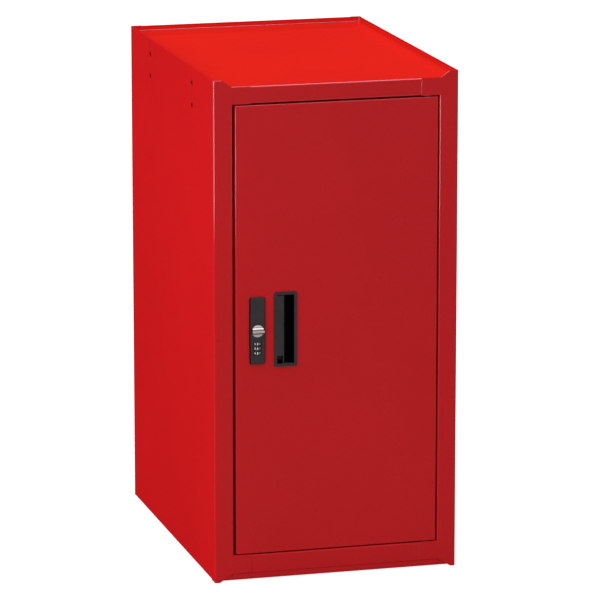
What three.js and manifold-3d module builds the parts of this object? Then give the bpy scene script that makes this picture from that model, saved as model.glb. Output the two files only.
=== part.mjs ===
// Side locker for a tool chest: a folded sheet-steel cabinet with an inset door on concealed pivot pins,
// a flush pull and a three-wheel combination cam lock. Millimetres, X to the right, Y to the back, Z up.
// Sizes are taken from the middle of the cabinet's footprint; the finished group is then moved back by half
// of what the lock knob stands proud, so that the origin is at the bottom centre of the whole object.

import * as THREE from 'three';
import { mergeVertices } from 'three/addons/utils/BufferGeometryUtils.js';
import Module from 'manifold-3d';

const wasm = await Module();
wasm.setup();

// Cabinet
const WIDTH = 330;
const DEPTH = 465;
const HEIGHT = 670;
const SHEET = 1;
const BEND = 1;
const GAP = 0.3;
const FOLD = SHEET + BEND;
const FRONT = -DEPTH / 2;
const REAR = DEPTH / 2;
const BEHIND_FRONT = FRONT + SHEET + GAP;
const LEFT = -1;
const RIGHT = 1;

// Front frame, as insets from the outer side face and heights from the floor
const STILE = 25.5;
const ARM = 50;
const OPENING_BOTTOM = 36;
const OPENING_TOP = 638;
const RAIL_TOP = 661;
const RAIL_BOTTOM = 11.3;
const TIP_FLAT = 12;
const FOOT_FLAT = 6.5;
const CORNER_RUN = 24;
const JAMB = 21;
const STOP = 10;

// Edges of the side panels
const REAR_FLANGE = 15;
const FOOT_FLANGE = 12;
const FOOT_NOTCH = 18;
const HEM_WIDTH = 3.2;
const HEM_DROP = 6.6;
const HEM_BEND = 0.5;
const SIDE_HOLE_RADIUS = 4;
const SIDE_HOLE_FROM_EDGE = 115;
const SIDE_HOLE_DROPS = [21, 51];

// Pans
const PAN_TOP = 657;
const PAN_LANDING = 8;
const PAN_RAMP = 4;
const PAN_STEP = 2;
const HEAD_RETURN = 22;
const HEAD_LIP = 10;
const FRAME_PLAY = 0.4;
const FLOOR_TOP = OPENING_BOTTOM - FRAME_PLAY;
const HEAD_UNDERSIDE = OPENING_TOP + FRAME_PLAY;
const FLOOR_FLANGE = 20;
const TOE_BOTTOM = 2;
const TOE_TOP = 30;
const TOE_FLANGE = 15;
const TOE_INSET = 4;
const BACK_BOTTOM = 3;
const BACK_FLANGE = 12;
const BACK_FACE = REAR - SHEET - GAP;

// Shelves on slotted pilasters
const PILASTER_WIDTH = 16;
const PILASTER_DEPTH = 5;
const PILASTER_BOTTOM = 60;
const PILASTER_TOP = 600;
const PILASTER_FROM_MIDDLE = 150;
const SLOT_PITCH = 25;
const SLOT_COUNT = 21;
const SLOT_FIRST = 80;
const SLOT_WIDTH = 3;
const SLOT_HEIGHT = 9;
const CLIP_THICKNESS = 1.5;
const CLIP_WIDTH = 14;
const CLIP_LEDGE = 13;
const CLIP_LEG = 16;
const CLIP_TONGUE_DROP = 8;
const CLIP_TONGUE_HEIGHT = 7.5;
const CLIP_TONGUE_WIDTH = 2.4;
const CLIP_TONGUE_REACH = 3;
const SHELF_SLOTS = { lower: 6, upper: 14 };
const SHELF_FRONT = FRONT + 43;
const SHELF_REAR = REAR - 11;
const SHELF_DROP = 22;
const SHELF_LIP = 10;
const SHELF_INSET = 8;

// Door and its pivots
const DOOR_LEFT = -136;
const DOOR_RIGHT = 137.5;
const DOOR_BOTTOM = 37.1;
const DOOR_TOP = 636.2;
const DOOR_DEPTH = 18;
const DOOR_EDGE = 1.5;
const DOOR_LIP = 10;
const DOOR_REAR = FRONT + DOOR_DEPTH;
const PIVOT_X = DOOR_RIGHT - 13;
const PIVOT_Y = FRONT + 7;
const PIN_RADIUS = 3;
const PIN_HEAD_RADIUS = 5;
const PIN_REACH = 14;
const PIN_TIP = 1;
const BUSH_RADIUS = 5;
const BUSH_FLANGE_RADIUS = 5.5;
const BUSH_LENGTH = 14;
const BUFFER_RADIUS = 3;
const BUFFER_DOME = 1;
const BUFFER_FROM_EDGE = 4;
const BUFFER_HEIGHTS = { lower: 90, upper: 585 };
const STIFFENER_X = 25;
const STIFFENER_CROWN = 32;
const STIFFENER_FOOT = 12;
const STIFFENER_SLOPE = 4;
const STIFFENER_DEPTH = 13;
const STIFFENER_MARGIN = 42;

// Flush pull
const PULL_X = -69.1;
const PULL_Z = 338;
const PULL_WIDTH = 31.2;
const PULL_HEIGHT = 100;
const PULL_BEZEL = 2.8;
const PULL_PROUD = 1.2;
const PULL_WALL = 1.2;
const PULL_DEPTH = 15;
const PULL_RADIUS = 4;
const GRIP_WIDTH = 10;
const GRIP_THICKNESS = 1.6;
const GRIP_TURN = 6;
const GRIP_TOP_GAP = 1.2;
const GRIP_NOTCH = 10.6;
const SNAP_WIDTH = 10;
const SNAP_RISE = 1.5;
const SNAP_LENGTH = 5;

// Combination cam lock
const LOCK_X = -107.3;
const LOCK_Z = 338;
const LOCK_WIDTH = 21.3;
const LOCK_HEIGHT = 90;
const LOCK_PROUD = 3;
const LOCK_RADIUS = 3;
const LOCK_BOW = 0.4;
const LOCK_EDGE = 0.8;
const LOCK_PLUG_WIDTH = 18;
const LOCK_PLUG_HEIGHT = 82;
const LOCK_FLANGE_WIDTH = 24;
const LOCK_FLANGE = 2.7;
const LOCK_BODY_DEPTH = 18.5;
const LOCK_SCREW_FROM_MIDDLE = 36;
const LOCK_SCREW_RADIUS = 1.5;
const LOCK_SCREW_HEAD = 3;
const LOCK_SCREW_LENGTH = 9;
const WHEEL_RADIUS = 6;
const WHEEL_THICKNESS = 4.6;
const WHEEL_PITCH = 6.3;
const WHEEL_DIGITS = 10;
const WHEEL_NOTCH = 0.35;
const WHEEL_Y = FRONT - LOCK_PROUD - GAP + WHEEL_RADIUS;
const WHEELS_Z = LOCK_Z - 23.6;
const WHEEL_POCKET = 6.4;
const WINDOW_WIDTH = 11.4;
const WINDOW_HEIGHT = 5.2;
const AXLE_RADIUS = 1;
const AXLE_LENGTH = 28;
const KNOB_Z = LOCK_Z;
const KNOB_RADIUS = 8;
const KNOB_RISE = 9;
const KNOB_BASE = 3.4;
const KNOB_BAR = 3.2;
const KNOB_SCOOP = 6.5;
const KNOB_BORE = 8.5;
const SPINDLE_RADIUS = 4;
const SPINDLE_SQUARE = 6;
const CAM_FRONT = FRONT + JAMB + SHEET + 0.7;
const CAM_THICKNESS = 2.5;
const CAM_REACH = 29;
const CAM_HUB_RADIUS = 8;
const CAM_TIP_RADIUS = 5;
const CAM_SCREW_RADIUS = 1.6;
const CAM_SCREW_HEAD = 4.5;
const CAM_SCREW_LENGTH = 9;
const SCREW_HEAD_HEIGHT = 2.5;

// Facets: a bend has twice ARC_STEPS facets, and a circle twice its own steps
const ARC_STEPS = 2;
const SMALL_STEPS = 4;
const ROUND_STEPS = 8;
const TURNED_FACETS = 24;

// Finishes
const RED_PAINT = { color: 0xb3161d, roughness: 0.32, metalness: 0 };
const BLACK_PLASTIC = { color: 0x1c1b1b, roughness: 0.45, metalness: 0 };
const SATIN_NICKEL = { color: 0xcfcac4, roughness: 0.28, metalness: 1 };
const ZINC_PLATE = { color: 0xb4b6b8, roughness: 0.4, metalness: 1 };
const BLACK_NYLON = { color: 0x1b1b1b, roughness: 0.5, metalness: 0 };
const BLACK_RUBBER = { color: 0x161616, roughness: 0.85, metalness: 0 };

// Turns that carry an outline's plane and its extrusion to the row's axes
const TURN_TO = {
  x: new THREE.Matrix4().makeBasis(
    new THREE.Vector3(0, 1, 0),
    new THREE.Vector3(0, 0, 1),
    new THREE.Vector3(1, 0, 0),
  ),
  y: new THREE.Matrix4().makeBasis(
    new THREE.Vector3(1, 0, 0),
    new THREE.Vector3(0, 0, 1),
    new THREE.Vector3(0, -1, 0),
  ),
  z: new THREE.Matrix4(),
};

// Closed solid of a three.js geometry
function solidOf(geometry) {
  geometry.deleteAttribute('normal');
  geometry.deleteAttribute('uv');
  const merged = mergeVertices(geometry);
  const index = merged.index.array;
  const triangles = [];
  for (let i = 0; i < index.length; i += 3) {
    const [a, b, c] = index.slice(i, i + 3);
    if (a !== b && b !== c && c !== a) {
      triangles.push(a, b, c);
    }
  }
  const vertProperties = merged.attributes.position.array;
  const triVerts = new Uint32Array(triangles);
  return new wasm.Manifold(new wasm.Mesh({ numProp: 3, vertProperties, triVerts }));
}

// Faceted geometry of a solid
function geometryOf(solid) {
  const mesh = solid.getMesh();
  const geometry = new THREE.BufferGeometry();
  geometry.setAttribute('position', new THREE.BufferAttribute(mesh.vertProperties, 3));
  geometry.setIndex(new THREE.BufferAttribute(mesh.triVerts, 1));
  const faceted = geometry.toNonIndexed();
  faceted.computeVertexNormals();
  return faceted;
}

// Outline from corner points
function outline(points) {
  return new THREE.Shape(points.map(([u, v]) => new THREE.Vector2(u, v)));
}

// Rectangle between two corners
function rect(u0, v0, u1, v1) {
  return outline([[u0, v0], [u1, v0], [u1, v1], [u0, v1]]);
}

// Circle
function circle(u, v, radius) {
  return new THREE.Shape().absarc(u, v, radius, 0, 2 * Math.PI, false);
}

// Rectangle round a middle point, with round corners
function roundedRect(u, v, width, height, radius) {
  const shape = new THREE.Shape();
  const du = width / 2 - radius;
  const dv = height / 2 - radius;
  [[du, -dv], [du, dv], [-du, dv], [-du, -dv]].forEach(([cu, cv], i) => {
    const start = (i - 1) * Math.PI / 2;
    shape.absarc(u + cu, v + cv, radius, start, start + Math.PI / 2, false);
  });
  return shape;
}

// The same, with its upright sides bowed out
function bowedRect(u, v, width, height, radius, bow) {
  const shape = new THREE.Shape();
  const du = width / 2 - bow - radius;
  const dv = height / 2 - radius;
  const corner = (cu, cv, start) => shape.absarc(u + cu, v + cv, radius, start, start + Math.PI / 2, false);
  corner(-du, -dv, Math.PI);
  corner(du, -dv, -Math.PI / 2);
  shape.quadraticCurveTo(u + du + radius + 2 * bow, v, u + du + radius, v + dv);
  corner(du, dv, 0);
  corner(-du, dv, Math.PI / 2);
  shape.quadraticCurveTo(u - du - radius - 2 * bow, v, u - du - radius, v - dv);
  return shape;
}

// Points of a run moved sideways to its left, with mitred corners
function offsetRun(points, distance) {
  const normals = points.slice(1).map((point, i) => {
    const along = point.clone().sub(points[i]).normalize();
    return new THREE.Vector2(-along.y, along.x);
  });
  return points.map((point, i) => {
    const before = normals[Math.max(i - 1, 0)];
    const after = normals[Math.min(i, normals.length - 1)];
    const reach = distance / (1 + before.dot(after));
    return point.clone().addScaledVector(before, reach).addScaledVector(after, reach);
  });
}

// Adds a run of straight lines to a shape, with an arc at each inner corner
function traceRun(shape, points, radii) {
  points.forEach((corner, i) => {
    if (i === 0 || i === points.length - 1) {
      shape.lineTo(corner.x, corner.y);
      return;
    }
    const arriving = corner.clone().sub(points[i - 1]).normalize();
    const leaving = points[i + 1].clone().sub(corner).normalize();
    const turn = Math.atan2(arriving.cross(leaving), arriving.dot(leaving));
    const start = corner.clone().addScaledVector(arriving, -radii[i] * Math.tan(Math.abs(turn) / 2));
    const inward = new THREE.Vector2(-arriving.y, arriving.x).multiplyScalar(Math.sign(turn));
    const centre = start.clone().addScaledVector(inward, radii[i]);
    const angle = start.clone().sub(centre).angle();
    shape.absarc(centre.x, centre.y, radii[i], angle, angle + turn, turn < 0);
  });
}

// Section of a folded sheet. The run follows one face, and the sheet lies to the left of the run where
// side is 1 and to its right where side is -1. Both faces bend round the same centre at each corner.
function sheetSection(run, side, thickness = SHEET, bend = BEND) {
  const face = run.map(([u, v]) => new THREE.Vector2(u, v));
  const back = offsetRun(face, side * thickness);
  const turns = face.map((corner, i) => {
    if (i === 0 || i === face.length - 1) {
      return 0;
    }
    return Math.sign(corner.clone().sub(face[i - 1]).cross(face[i + 1].clone().sub(corner)));
  });
  const faceRadii = turns.map((turn) => (turn === side ? bend + thickness : bend));
  const backRadii = turns.map((turn) => (turn === side ? bend : bend + thickness));
  const shape = new THREE.Shape();
  shape.moveTo(face[0].x, face[0].y);
  traceRun(shape, face, faceRadii);
  traceRun(shape, back.reverse(), backRadii.reverse());
  return shape;
}

// Solid swept from an outline along an axis. Outlines read (Y, Z) along x, (X, Z) along y, (X, Y) along z.
function prism(shape, axis, from, to, arcSteps = ARC_STEPS) {
  const options = { depth: to - from, bevelEnabled: false, curveSegments: arcSteps };
  const geometry = new THREE.ExtrudeGeometry(shape, options);
  geometry.translate(0, 0, axis === 'y' ? -to : from);
  geometry.applyMatrix4(TURN_TO[axis]);
  return solidOf(geometry);
}

// Plate across Y with its front edges rounded over
function easedPlate(shape, front, rear, edge) {
  const options = {
    depth: rear - front,
    bevelThickness: edge,
    bevelSize: edge,
    bevelOffset: -edge,
    bevelSegments: 2,
    curveSegments: ARC_STEPS,
  };
  const geometry = new THREE.ExtrudeGeometry(shape, options);
  geometry.translate(0, 0, -rear - edge);
  geometry.applyMatrix4(TURN_TO.y);
  const bounds = geometry.clone();
  bounds.computeBoundingBox();
  const { min, max } = bounds.boundingBox;
  const behind = prism(rect(min.x - 1, min.z - 1, max.x + 1, max.z + 1), 'y', rear, max.y + 1);
  return solidOf(geometry).subtract(behind);
}

// Solid of revolution from (radius, height) points, which run anticlockwise, round the Y or the Z axis
function turned(points, axis, facets = TURNED_FACETS) {
  const geometry = new THREE.LatheGeometry(points.map(([r, h]) => new THREE.Vector2(r, h)), facets);
  if (axis === 'z') {
    geometry.rotateX(Math.PI / 2);
  }
  return solidOf(geometry);
}

// Round cutter or rod along an axis, at a place in the plane across it
function rod(axis, u, v, radius, from, to, steps = ROUND_STEPS) {
  return prism(circle(u, v, radius), axis, from, to, steps);
}

// Adds a named piece to a group, with a material of its own
function addPiece(group, name, solid, finish) {
  const mesh = new THREE.Mesh(geometryOf(solid), new THREE.MeshStandardMaterial(finish));
  mesh.name = name;
  group.add(mesh);
  return mesh;
}

// Side wall with its front flange, jamb, rear flange, hemmed top edge, foot flange and bolt holes
function sidePanel(hand, hasStop) {
  const x = (inset) => hand * (WIDTH / 2 - inset);
  const wallRun = [[x(0), FRONT], [x(0), REAR], [x(REAR_FLANGE), REAR]];
  const stopRun = hasStop ? [[x(STILE + STOP), FRONT + JAMB]] : [];
  const armSection = sheetSection([[x(ARM), FRONT], ...wallRun], hand);
  const jambRun = [...stopRun, [x(STILE), FRONT + JAMB], [x(STILE), FRONT], ...wallRun];
  let panel = prism(armSection, 'z', 0, OPENING_BOTTOM);
  panel = panel.add(prism(sheetSection(jambRun, hand), 'z', OPENING_BOTTOM, OPENING_TOP));
  panel = panel.add(prism(armSection, 'z', OPENING_TOP, HEIGHT));

  const wallFront = FRONT + FOLD + GAP;
  const wallRear = REAR - FOLD - GAP;
  const footFront = FRONT + FOOT_NOTCH;
  const hemBottom = HEIGHT - HEM_DROP;
  const hemRun = [[x(0), hemBottom], [x(0), HEIGHT], [x(HEM_WIDTH), HEIGHT], [x(HEM_WIDTH), hemBottom]];
  const footRun = [[x(0), FOLD], [x(0), 0], [x(FOOT_FLANGE), 0]];
  panel = panel.subtract(prism(rect(x(-1), hemBottom, x(FOLD), HEIGHT + 1), 'y', wallFront, wallRear));
  panel = panel.subtract(prism(rect(x(-1), -1, x(FOLD), FOLD), 'y', footFront, wallRear));
  panel = panel.add(prism(sheetSection(hemRun, hand, SHEET, HEM_BEND), 'y', wallFront, wallRear));
  panel = panel.add(prism(sheetSection(footRun, -hand), 'y', footFront, wallRear));

  const tip = outline([
    [x(TIP_FLAT), HEIGHT + 1],
    [x(TIP_FLAT), HEIGHT],
    [x(CORNER_RUN), RAIL_TOP],
    [x(ARM + 1), RAIL_TOP],
    [x(ARM + 1), HEIGHT + 1],
  ]);
  const foot = outline([
    [x(FOOT_FLAT), -1],
    [x(FOOT_FLAT), 0],
    [x(CORNER_RUN), RAIL_BOTTOM],
    [x(ARM + 1), RAIL_BOTTOM],
    [x(ARM + 1), -1],
  ]);
  panel = panel.subtract(prism(tip, 'y', FRONT - 1, wallFront));
  panel = panel.subtract(prism(foot, 'y', FRONT - 1, wallFront));

  const acrossWall = [x(FOLD), x(-1)].sort((a, b) => a - b);
  for (const drop of SIDE_HOLE_DROPS) {
    for (const y of [FRONT + SIDE_HOLE_FROM_EDGE, REAR - SIDE_HOLE_FROM_EDGE]) {
      panel = panel.subtract(rod('x', y, HEIGHT - drop, SIDE_HOLE_RADIUS, ...acrossWall));
    }
  }
  return panel;
}

// Rear wall between the side panels, with a hemmed top lip and a stiffening fold along its foot
function backPanel() {
  const half = WIDTH / 2 - FOLD - GAP;
  const hemHalf = WIDTH / 2 - HEM_WIDTH - GAP;
  const hemFace = BACK_FACE - HEM_WIDTH;
  const hemBottom = HEIGHT - HEM_DROP;
  const wallRun = [
    [BACK_FACE - BACK_FLANGE, BACK_BOTTOM],
    [BACK_FACE, BACK_BOTTOM],
    [BACK_FACE, hemBottom - GAP],
  ];
  const hemRun = [[BACK_FACE, hemBottom - GAP], [BACK_FACE, HEIGHT], [hemFace, HEIGHT], [hemFace, hemBottom]];
  const wall = prism(sheetSection(wallRun, 1), 'x', -half, half);
  return wall.add(prism(sheetSection(hemRun, 1, SHEET, HEM_BEND), 'x', -hemHalf, hemHalf));
}

// Clears the front corners of a pan, where the arms of the side panels stand in front of it
function clearOfArms(pan) {
  const inner = WIDTH / 2 - ARM - GAP;
  let cut = pan;
  for (const hand of [LEFT, RIGHT]) {
    const corner = rect(hand * inner, FRONT - 1, hand * WIDTH, BEHIND_FRONT);
    cut = cut.subtract(prism(corner, 'z', 0, HEIGHT));
  }
  return cut;
}

// Tray top: head return, front rail, low ramp, tray floor and rear upstand in one fold, with side upstands.
// The rear upstand stands a step in front of the back panel's hem, its top edge is folded back under it, and
// its ends are welded to the side upstands.
function topPan() {
  const rearFace = BACK_FACE - HEM_WIDTH - PAN_STEP;
  const returnEnd = BACK_FACE - SHEET - GAP;
  const upstandTop = HEIGHT - HEM_DROP - GAP;
  const headRear = FRONT + HEAD_RETURN;
  const rearRun = [[rearFace, PAN_TOP], [rearFace, upstandTop], [returnEnd, upstandTop]];
  const run = [
    [headRear, HEAD_UNDERSIDE + HEAD_LIP],
    [headRear, HEAD_UNDERSIDE],
    [FRONT, HEAD_UNDERSIDE],
    [FRONT, RAIL_TOP],
    [FRONT + PAN_LANDING, RAIL_TOP],
    [FRONT + PAN_LANDING + PAN_RAMP, PAN_TOP],
    ...rearRun,
  ];
  const half = WIDTH / 2 - FOLD - SHEET - GAP;
  let pan = prism(sheetSection(run, -1), 'x', -half, half);
  const cornerHalf = half + FOLD;
  const cornerRun = [[rearFace - 2 * FOLD, PAN_TOP], ...rearRun];
  pan = pan.add(prism(sheetSection(cornerRun, -1), 'x', -cornerHalf, cornerHalf));
  for (const hand of [LEFT, RIGHT]) {
    const face = hand * (half + BEND);
    const upstand = [
      [hand * (half - BEND), PAN_TOP],
      [face, PAN_TOP],
      [face, upstandTop],
    ];
    pan = pan.add(prism(sheetSection(upstand, -hand), 'y', BEHIND_FRONT, rearFace));
  }
  const pinHole = rod('z', PIVOT_X, PIVOT_Y, PIN_RADIUS + GAP, HEAD_UNDERSIDE - 1, HEAD_UNDERSIDE + FOLD);
  return clearOfArms(pan).subtract(pinHole);
}

// Cabinet floor: its front edge is folded down as the bottom rail, and the other edges as stiffening flanges
function floorPan() {
  const rearFace = BACK_FACE - SHEET - GAP;
  const run = [
    [FRONT, RAIL_BOTTOM],
    [FRONT, FLOOR_TOP],
    [rearFace, FLOOR_TOP],
    [rearFace, FLOOR_TOP - FLOOR_FLANGE],
  ];
  const outer = WIDTH / 2 - SHEET - GAP;
  const half = outer - FOLD;
  let pan = prism(sheetSection(run, -1), 'x', -half, half);
  for (const hand of [LEFT, RIGHT]) {
    const flange = [
      [hand * (half - BEND), FLOOR_TOP],
      [hand * outer, FLOOR_TOP],
      [hand * outer, FLOOR_TOP - FLOOR_FLANGE],
    ];
    pan = pan.add(prism(sheetSection(flange, -hand), 'y', BEHIND_FRONT, rearFace - FOLD));
  }
  const pinHole = rod('z', PIVOT_X, PIVOT_Y, PIN_RADIUS + GAP, FLOOR_TOP - FOLD, FLOOR_TOP + 1);
  return clearOfArms(pan).subtract(pinHole);
}

// Toe strip, welded behind the bottom rail and showing below it
function toeStrip() {
  const half = WIDTH / 2 - TOE_INSET;
  const run = [
    [BEHIND_FRONT + TOE_FLANGE, TOE_BOTTOM],
    [BEHIND_FRONT, TOE_BOTTOM],
    [BEHIND_FRONT, TOE_TOP],
  ];
  return prism(sheetSection(run, -1), 'x', -half, half);
}

// Slotted shelf pilaster: a channel that is open towards the wall, which is at x = 0
function pilaster() {
  const half = PILASTER_WIDTH / 2;
  const run = [[0, -half], [PILASTER_DEPTH, -half], [PILASTER_DEPTH, half], [0, half]];
  let channel = prism(sheetSection(run, 1), 'z', PILASTER_BOTTOM, PILASTER_TOP);
  for (let i = 0; i < SLOT_COUNT; i += 1) {
    const z = SLOT_FIRST + i * SLOT_PITCH;
    const slot = rect(-SLOT_WIDTH / 2, z - SLOT_HEIGHT / 2, SLOT_WIDTH / 2, z + SLOT_HEIGHT / 2);
    channel = channel.subtract(prism(slot, 'x', PILASTER_DEPTH - FOLD, PILASTER_DEPTH + 1));
  }
  return channel;
}

// Shelf clip: an angle with a tongue that hooks into a slot. The pilaster's face is at x = 0, and the
// middle of the slot is at z = 0.
function shelfClip() {
  const top = CLIP_TONGUE_DROP;
  const run = [[GAP + CLIP_LEDGE, top], [GAP, top], [GAP, top - CLIP_LEG]];
  const angle = prism(sheetSection(run, 1, CLIP_THICKNESS), 'y', -CLIP_WIDTH / 2, CLIP_WIDTH / 2);
  const tongue = rect(
    -CLIP_TONGUE_REACH,
    -CLIP_TONGUE_HEIGHT / 2,
    GAP + CLIP_THICKNESS / 2,
    CLIP_TONGUE_HEIGHT / 2,
  );
  return angle.add(prism(tongue, 'y', -CLIP_TONGUE_WIDTH / 2, CLIP_TONGUE_WIDTH / 2));
}

// Shelf with folded front and rear edges. Its underside is at z = 0.
function shelf() {
  const half = WIDTH / 2 - SHELF_INSET;
  const bottom = SHEET - SHELF_DROP;
  const run = [
    [SHELF_FRONT + SHELF_LIP, bottom],
    [SHELF_FRONT, bottom],
    [SHELF_FRONT, SHEET],
    [SHELF_REAR, SHEET],
    [SHELF_REAR, bottom],
    [SHELF_REAR - SHELF_LIP, bottom],
  ];
  return prism(sheetSection(run, -1), 'x', -half, half);
}

// Headed pivot pin through a sheet whose near face is at z = 0, standing up into the door
function pivotPin() {
  const tail = -SHEET - GAP;
  return turned(
    [
      [0, tail - FOLD],
      [PIN_HEAD_RADIUS, tail - FOLD],
      [PIN_HEAD_RADIUS, tail],
      [PIN_RADIUS, tail],
      [PIN_RADIUS, PIN_REACH - PIN_TIP],
      [PIN_RADIUS - PIN_TIP, PIN_REACH],
      [0, PIN_REACH],
    ],
    'z',
  );
}

// Bush for the door's return, whose outer face is at z = 0 with the door above it. Its flange fills the room
// between the door and the cabinet, so that the lower one carries the door.
function pivotBush(room) {
  const bore = PIN_RADIUS + GAP;
  const seat = GAP - room;
  return turned(
    [
      [bore, seat],
      [BUSH_FLANGE_RADIUS, seat],
      [BUSH_FLANGE_RADIUS, -GAP],
      [BUSH_RADIUS, -GAP],
      [BUSH_RADIUS, BUSH_LENGTH],
      [bore, BUSH_LENGTH],
      [bore, seat],
    ],
    'z',
  );
}

// Domed rubber buffer on the stop flange, facing the door
function doorBuffer() {
  const rear = FRONT + JAMB - GAP;
  const front = DOOR_REAR + GAP;
  return turned(
    [
      [0, front],
      [BUFFER_RADIUS - BUFFER_DOME, front],
      [BUFFER_RADIUS, front + BUFFER_DOME],
      [BUFFER_RADIUS, rear],
      [0, rear],
    ],
    'y',
  );
}

// Rectangle whose front corners are round, as a section through the door's edges
function frontRounded(u0, u1, front, rear, radius) {
  const shape = new THREE.Shape();
  shape.moveTo(u1, rear);
  shape.lineTo(u0, rear);
  shape.absarc(u0 + radius, front + radius, radius, Math.PI, 1.5 * Math.PI, false);
  shape.absarc(u1 - radius, front + radius, radius, 1.5 * Math.PI, 2 * Math.PI, false);
  return shape;
}

// The same section read as (Y, Z)
function frontRoundedUpright(z0, z1, front, rear, radius) {
  const shape = new THREE.Shape();
  shape.moveTo(rear, z0);
  shape.lineTo(rear, z1);
  shape.absarc(front + radius, z1 - radius, radius, 0.5 * Math.PI, Math.PI, false);
  shape.absarc(front + radius, z0 + radius, radius, Math.PI, 1.5 * Math.PI, false);
  return shape;
}

// Block with its four front edges rounded
function frontRoundedBlock(inset, rear, radius) {
  const front = FRONT + inset;
  const across = frontRounded(DOOR_LEFT + inset, DOOR_RIGHT - inset, front, rear, radius);
  const upright = frontRoundedUpright(DOOR_BOTTOM + inset, DOOR_TOP - inset, front, rear, radius);
  const tall = prism(across, 'z', DOOR_BOTTOM + inset, DOOR_TOP - inset);
  return tall.intersect(prism(upright, 'x', DOOR_LEFT + inset, DOOR_RIGHT - inset));
}

// Door skin: a pan with returns on four sides and lips along its upright edges
function doorSkin() {
  const cavity = frontRoundedBlock(SHEET, DOOR_REAR - SHEET, DOOR_EDGE - SHEET);
  const mouth = prism(
    rect(DOOR_LEFT + DOOR_LIP, DOOR_REAR - FOLD, DOOR_RIGHT - DOOR_LIP, DOOR_REAR + 1),
    'z',
    DOOR_BOTTOM + SHEET,
    DOOR_TOP - SHEET,
  );
  const pullHole = roundedRect(
    PULL_X,
    PULL_Z,
    PULL_WIDTH - 2 * PULL_BEZEL + 2 * GAP,
    PULL_HEIGHT - 2 * PULL_BEZEL + 2 * GAP,
    PULL_RADIUS - PULL_BEZEL / 2,
  );
  const lockHole = roundedRect(
    LOCK_X,
    LOCK_Z,
    LOCK_PLUG_WIDTH + 2 * GAP,
    LOCK_PLUG_HEIGHT + 2 * GAP,
    LOCK_RADIUS,
  );
  const bushHole = rod('z', PIVOT_X, PIVOT_Y, BUSH_RADIUS + GAP, 0, HEIGHT);
  return frontRoundedBlock(0, DOOR_REAR, DOOR_EDGE)
    .subtract(cavity)
    .subtract(mouth)
    .subtract(prism(pullHole, 'y', FRONT - 1, FRONT + FOLD))
    .subtract(prism(lockHole, 'y', FRONT - 1, FRONT + FOLD))
    .subtract(bushHole);
}

// Hat-section stiffener up the back of the door skin
function doorStiffener() {
  const crown = STIFFENER_CROWN / 2;
  const base = crown + STIFFENER_SLOPE;
  const toe = base + STIFFENER_FOOT;
  const ridge = BEHIND_FRONT + STIFFENER_DEPTH;
  const run = [
    [STIFFENER_X - toe, BEHIND_FRONT],
    [STIFFENER_X - base, BEHIND_FRONT],
    [STIFFENER_X - crown, ridge],
    [STIFFENER_X + crown, ridge],
    [STIFFENER_X + base, BEHIND_FRONT],
    [STIFFENER_X + toe, BEHIND_FRONT],
  ];
  return prism(sheetSection(run, 1), 'z', DOOR_BOTTOM + STIFFENER_MARGIN, DOOR_TOP - STIFFENER_MARGIN);
}

// Flush pull: a bezel and tub moulded in one, a turned-in grip along the left, and snaps behind the skin.
// The grip's face stops short of the pocket's foot, and its turned-in edge runs on down as a web.
function flushPull() {
  const front = FRONT - PULL_PROUD;
  const tubWidth = PULL_WIDTH - 2 * PULL_BEZEL;
  const tubHeight = PULL_HEIGHT - 2 * PULL_BEZEL;
  const pocketWidth = tubWidth - 2 * PULL_WALL;
  const pocketHeight = tubHeight - 2 * PULL_WALL;
  const tubRadius = PULL_RADIUS - PULL_WALL;
  const bezel = roundedRect(PULL_X, PULL_Z, PULL_WIDTH, PULL_HEIGHT, PULL_RADIUS);
  const tub = roundedRect(PULL_X, PULL_Z, tubWidth, tubHeight, tubRadius);
  const pocket = roundedRect(PULL_X, PULL_Z, pocketWidth, pocketHeight, tubRadius - PULL_WALL);
  let pull = easedPlate(bezel, front, FRONT - GAP, PULL_PROUD / 2);
  pull = pull.add(prism(tub, 'y', front + PULL_PROUD / 2, FRONT + PULL_DEPTH));
  pull = pull.subtract(prism(pocket, 'y', front - 1, FRONT + PULL_DEPTH - PULL_WALL));

  const pocketLeft = PULL_X - pocketWidth / 2;
  const pocketFoot = PULL_Z - pocketHeight / 2;
  const gripEdge = pocketLeft + GRIP_WIDTH;
  const gripRun = [
    [pocketLeft - PULL_WALL / 2, front + GAP],
    [gripEdge, front + GAP],
    [gripEdge, front + GAP + GRIP_TURN],
  ];
  const gripTop = PULL_Z + pocketHeight / 2 - GRIP_TOP_GAP;
  const grip = prism(sheetSection(gripRun, 1, GRIP_THICKNESS), 'z', pocketFoot - PULL_WALL / 2, gripTop);
  const notch = rect(pocketLeft, front, gripEdge - GRIP_THICKNESS, front + GAP + GRIP_TURN);
  pull = pull.add(grip.subtract(prism(notch, 'z', pocketFoot, pocketFoot + GRIP_NOTCH)));

  for (const up of [-1, 1]) {
    const root = PULL_Z + up * (tubHeight / 2 - PULL_WALL / 2);
    const crest = PULL_Z + up * (tubHeight / 2 + SNAP_RISE);
    const snap = outline([[BEHIND_FRONT, root], [BEHIND_FRONT, crest], [BEHIND_FRONT + SNAP_LENGTH, root]]);
    pull = pull.add(prism(snap, 'x', PULL_X - SNAP_WIDTH / 2, PULL_X + SNAP_WIDTH / 2));
  }
  return pull;
}

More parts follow.
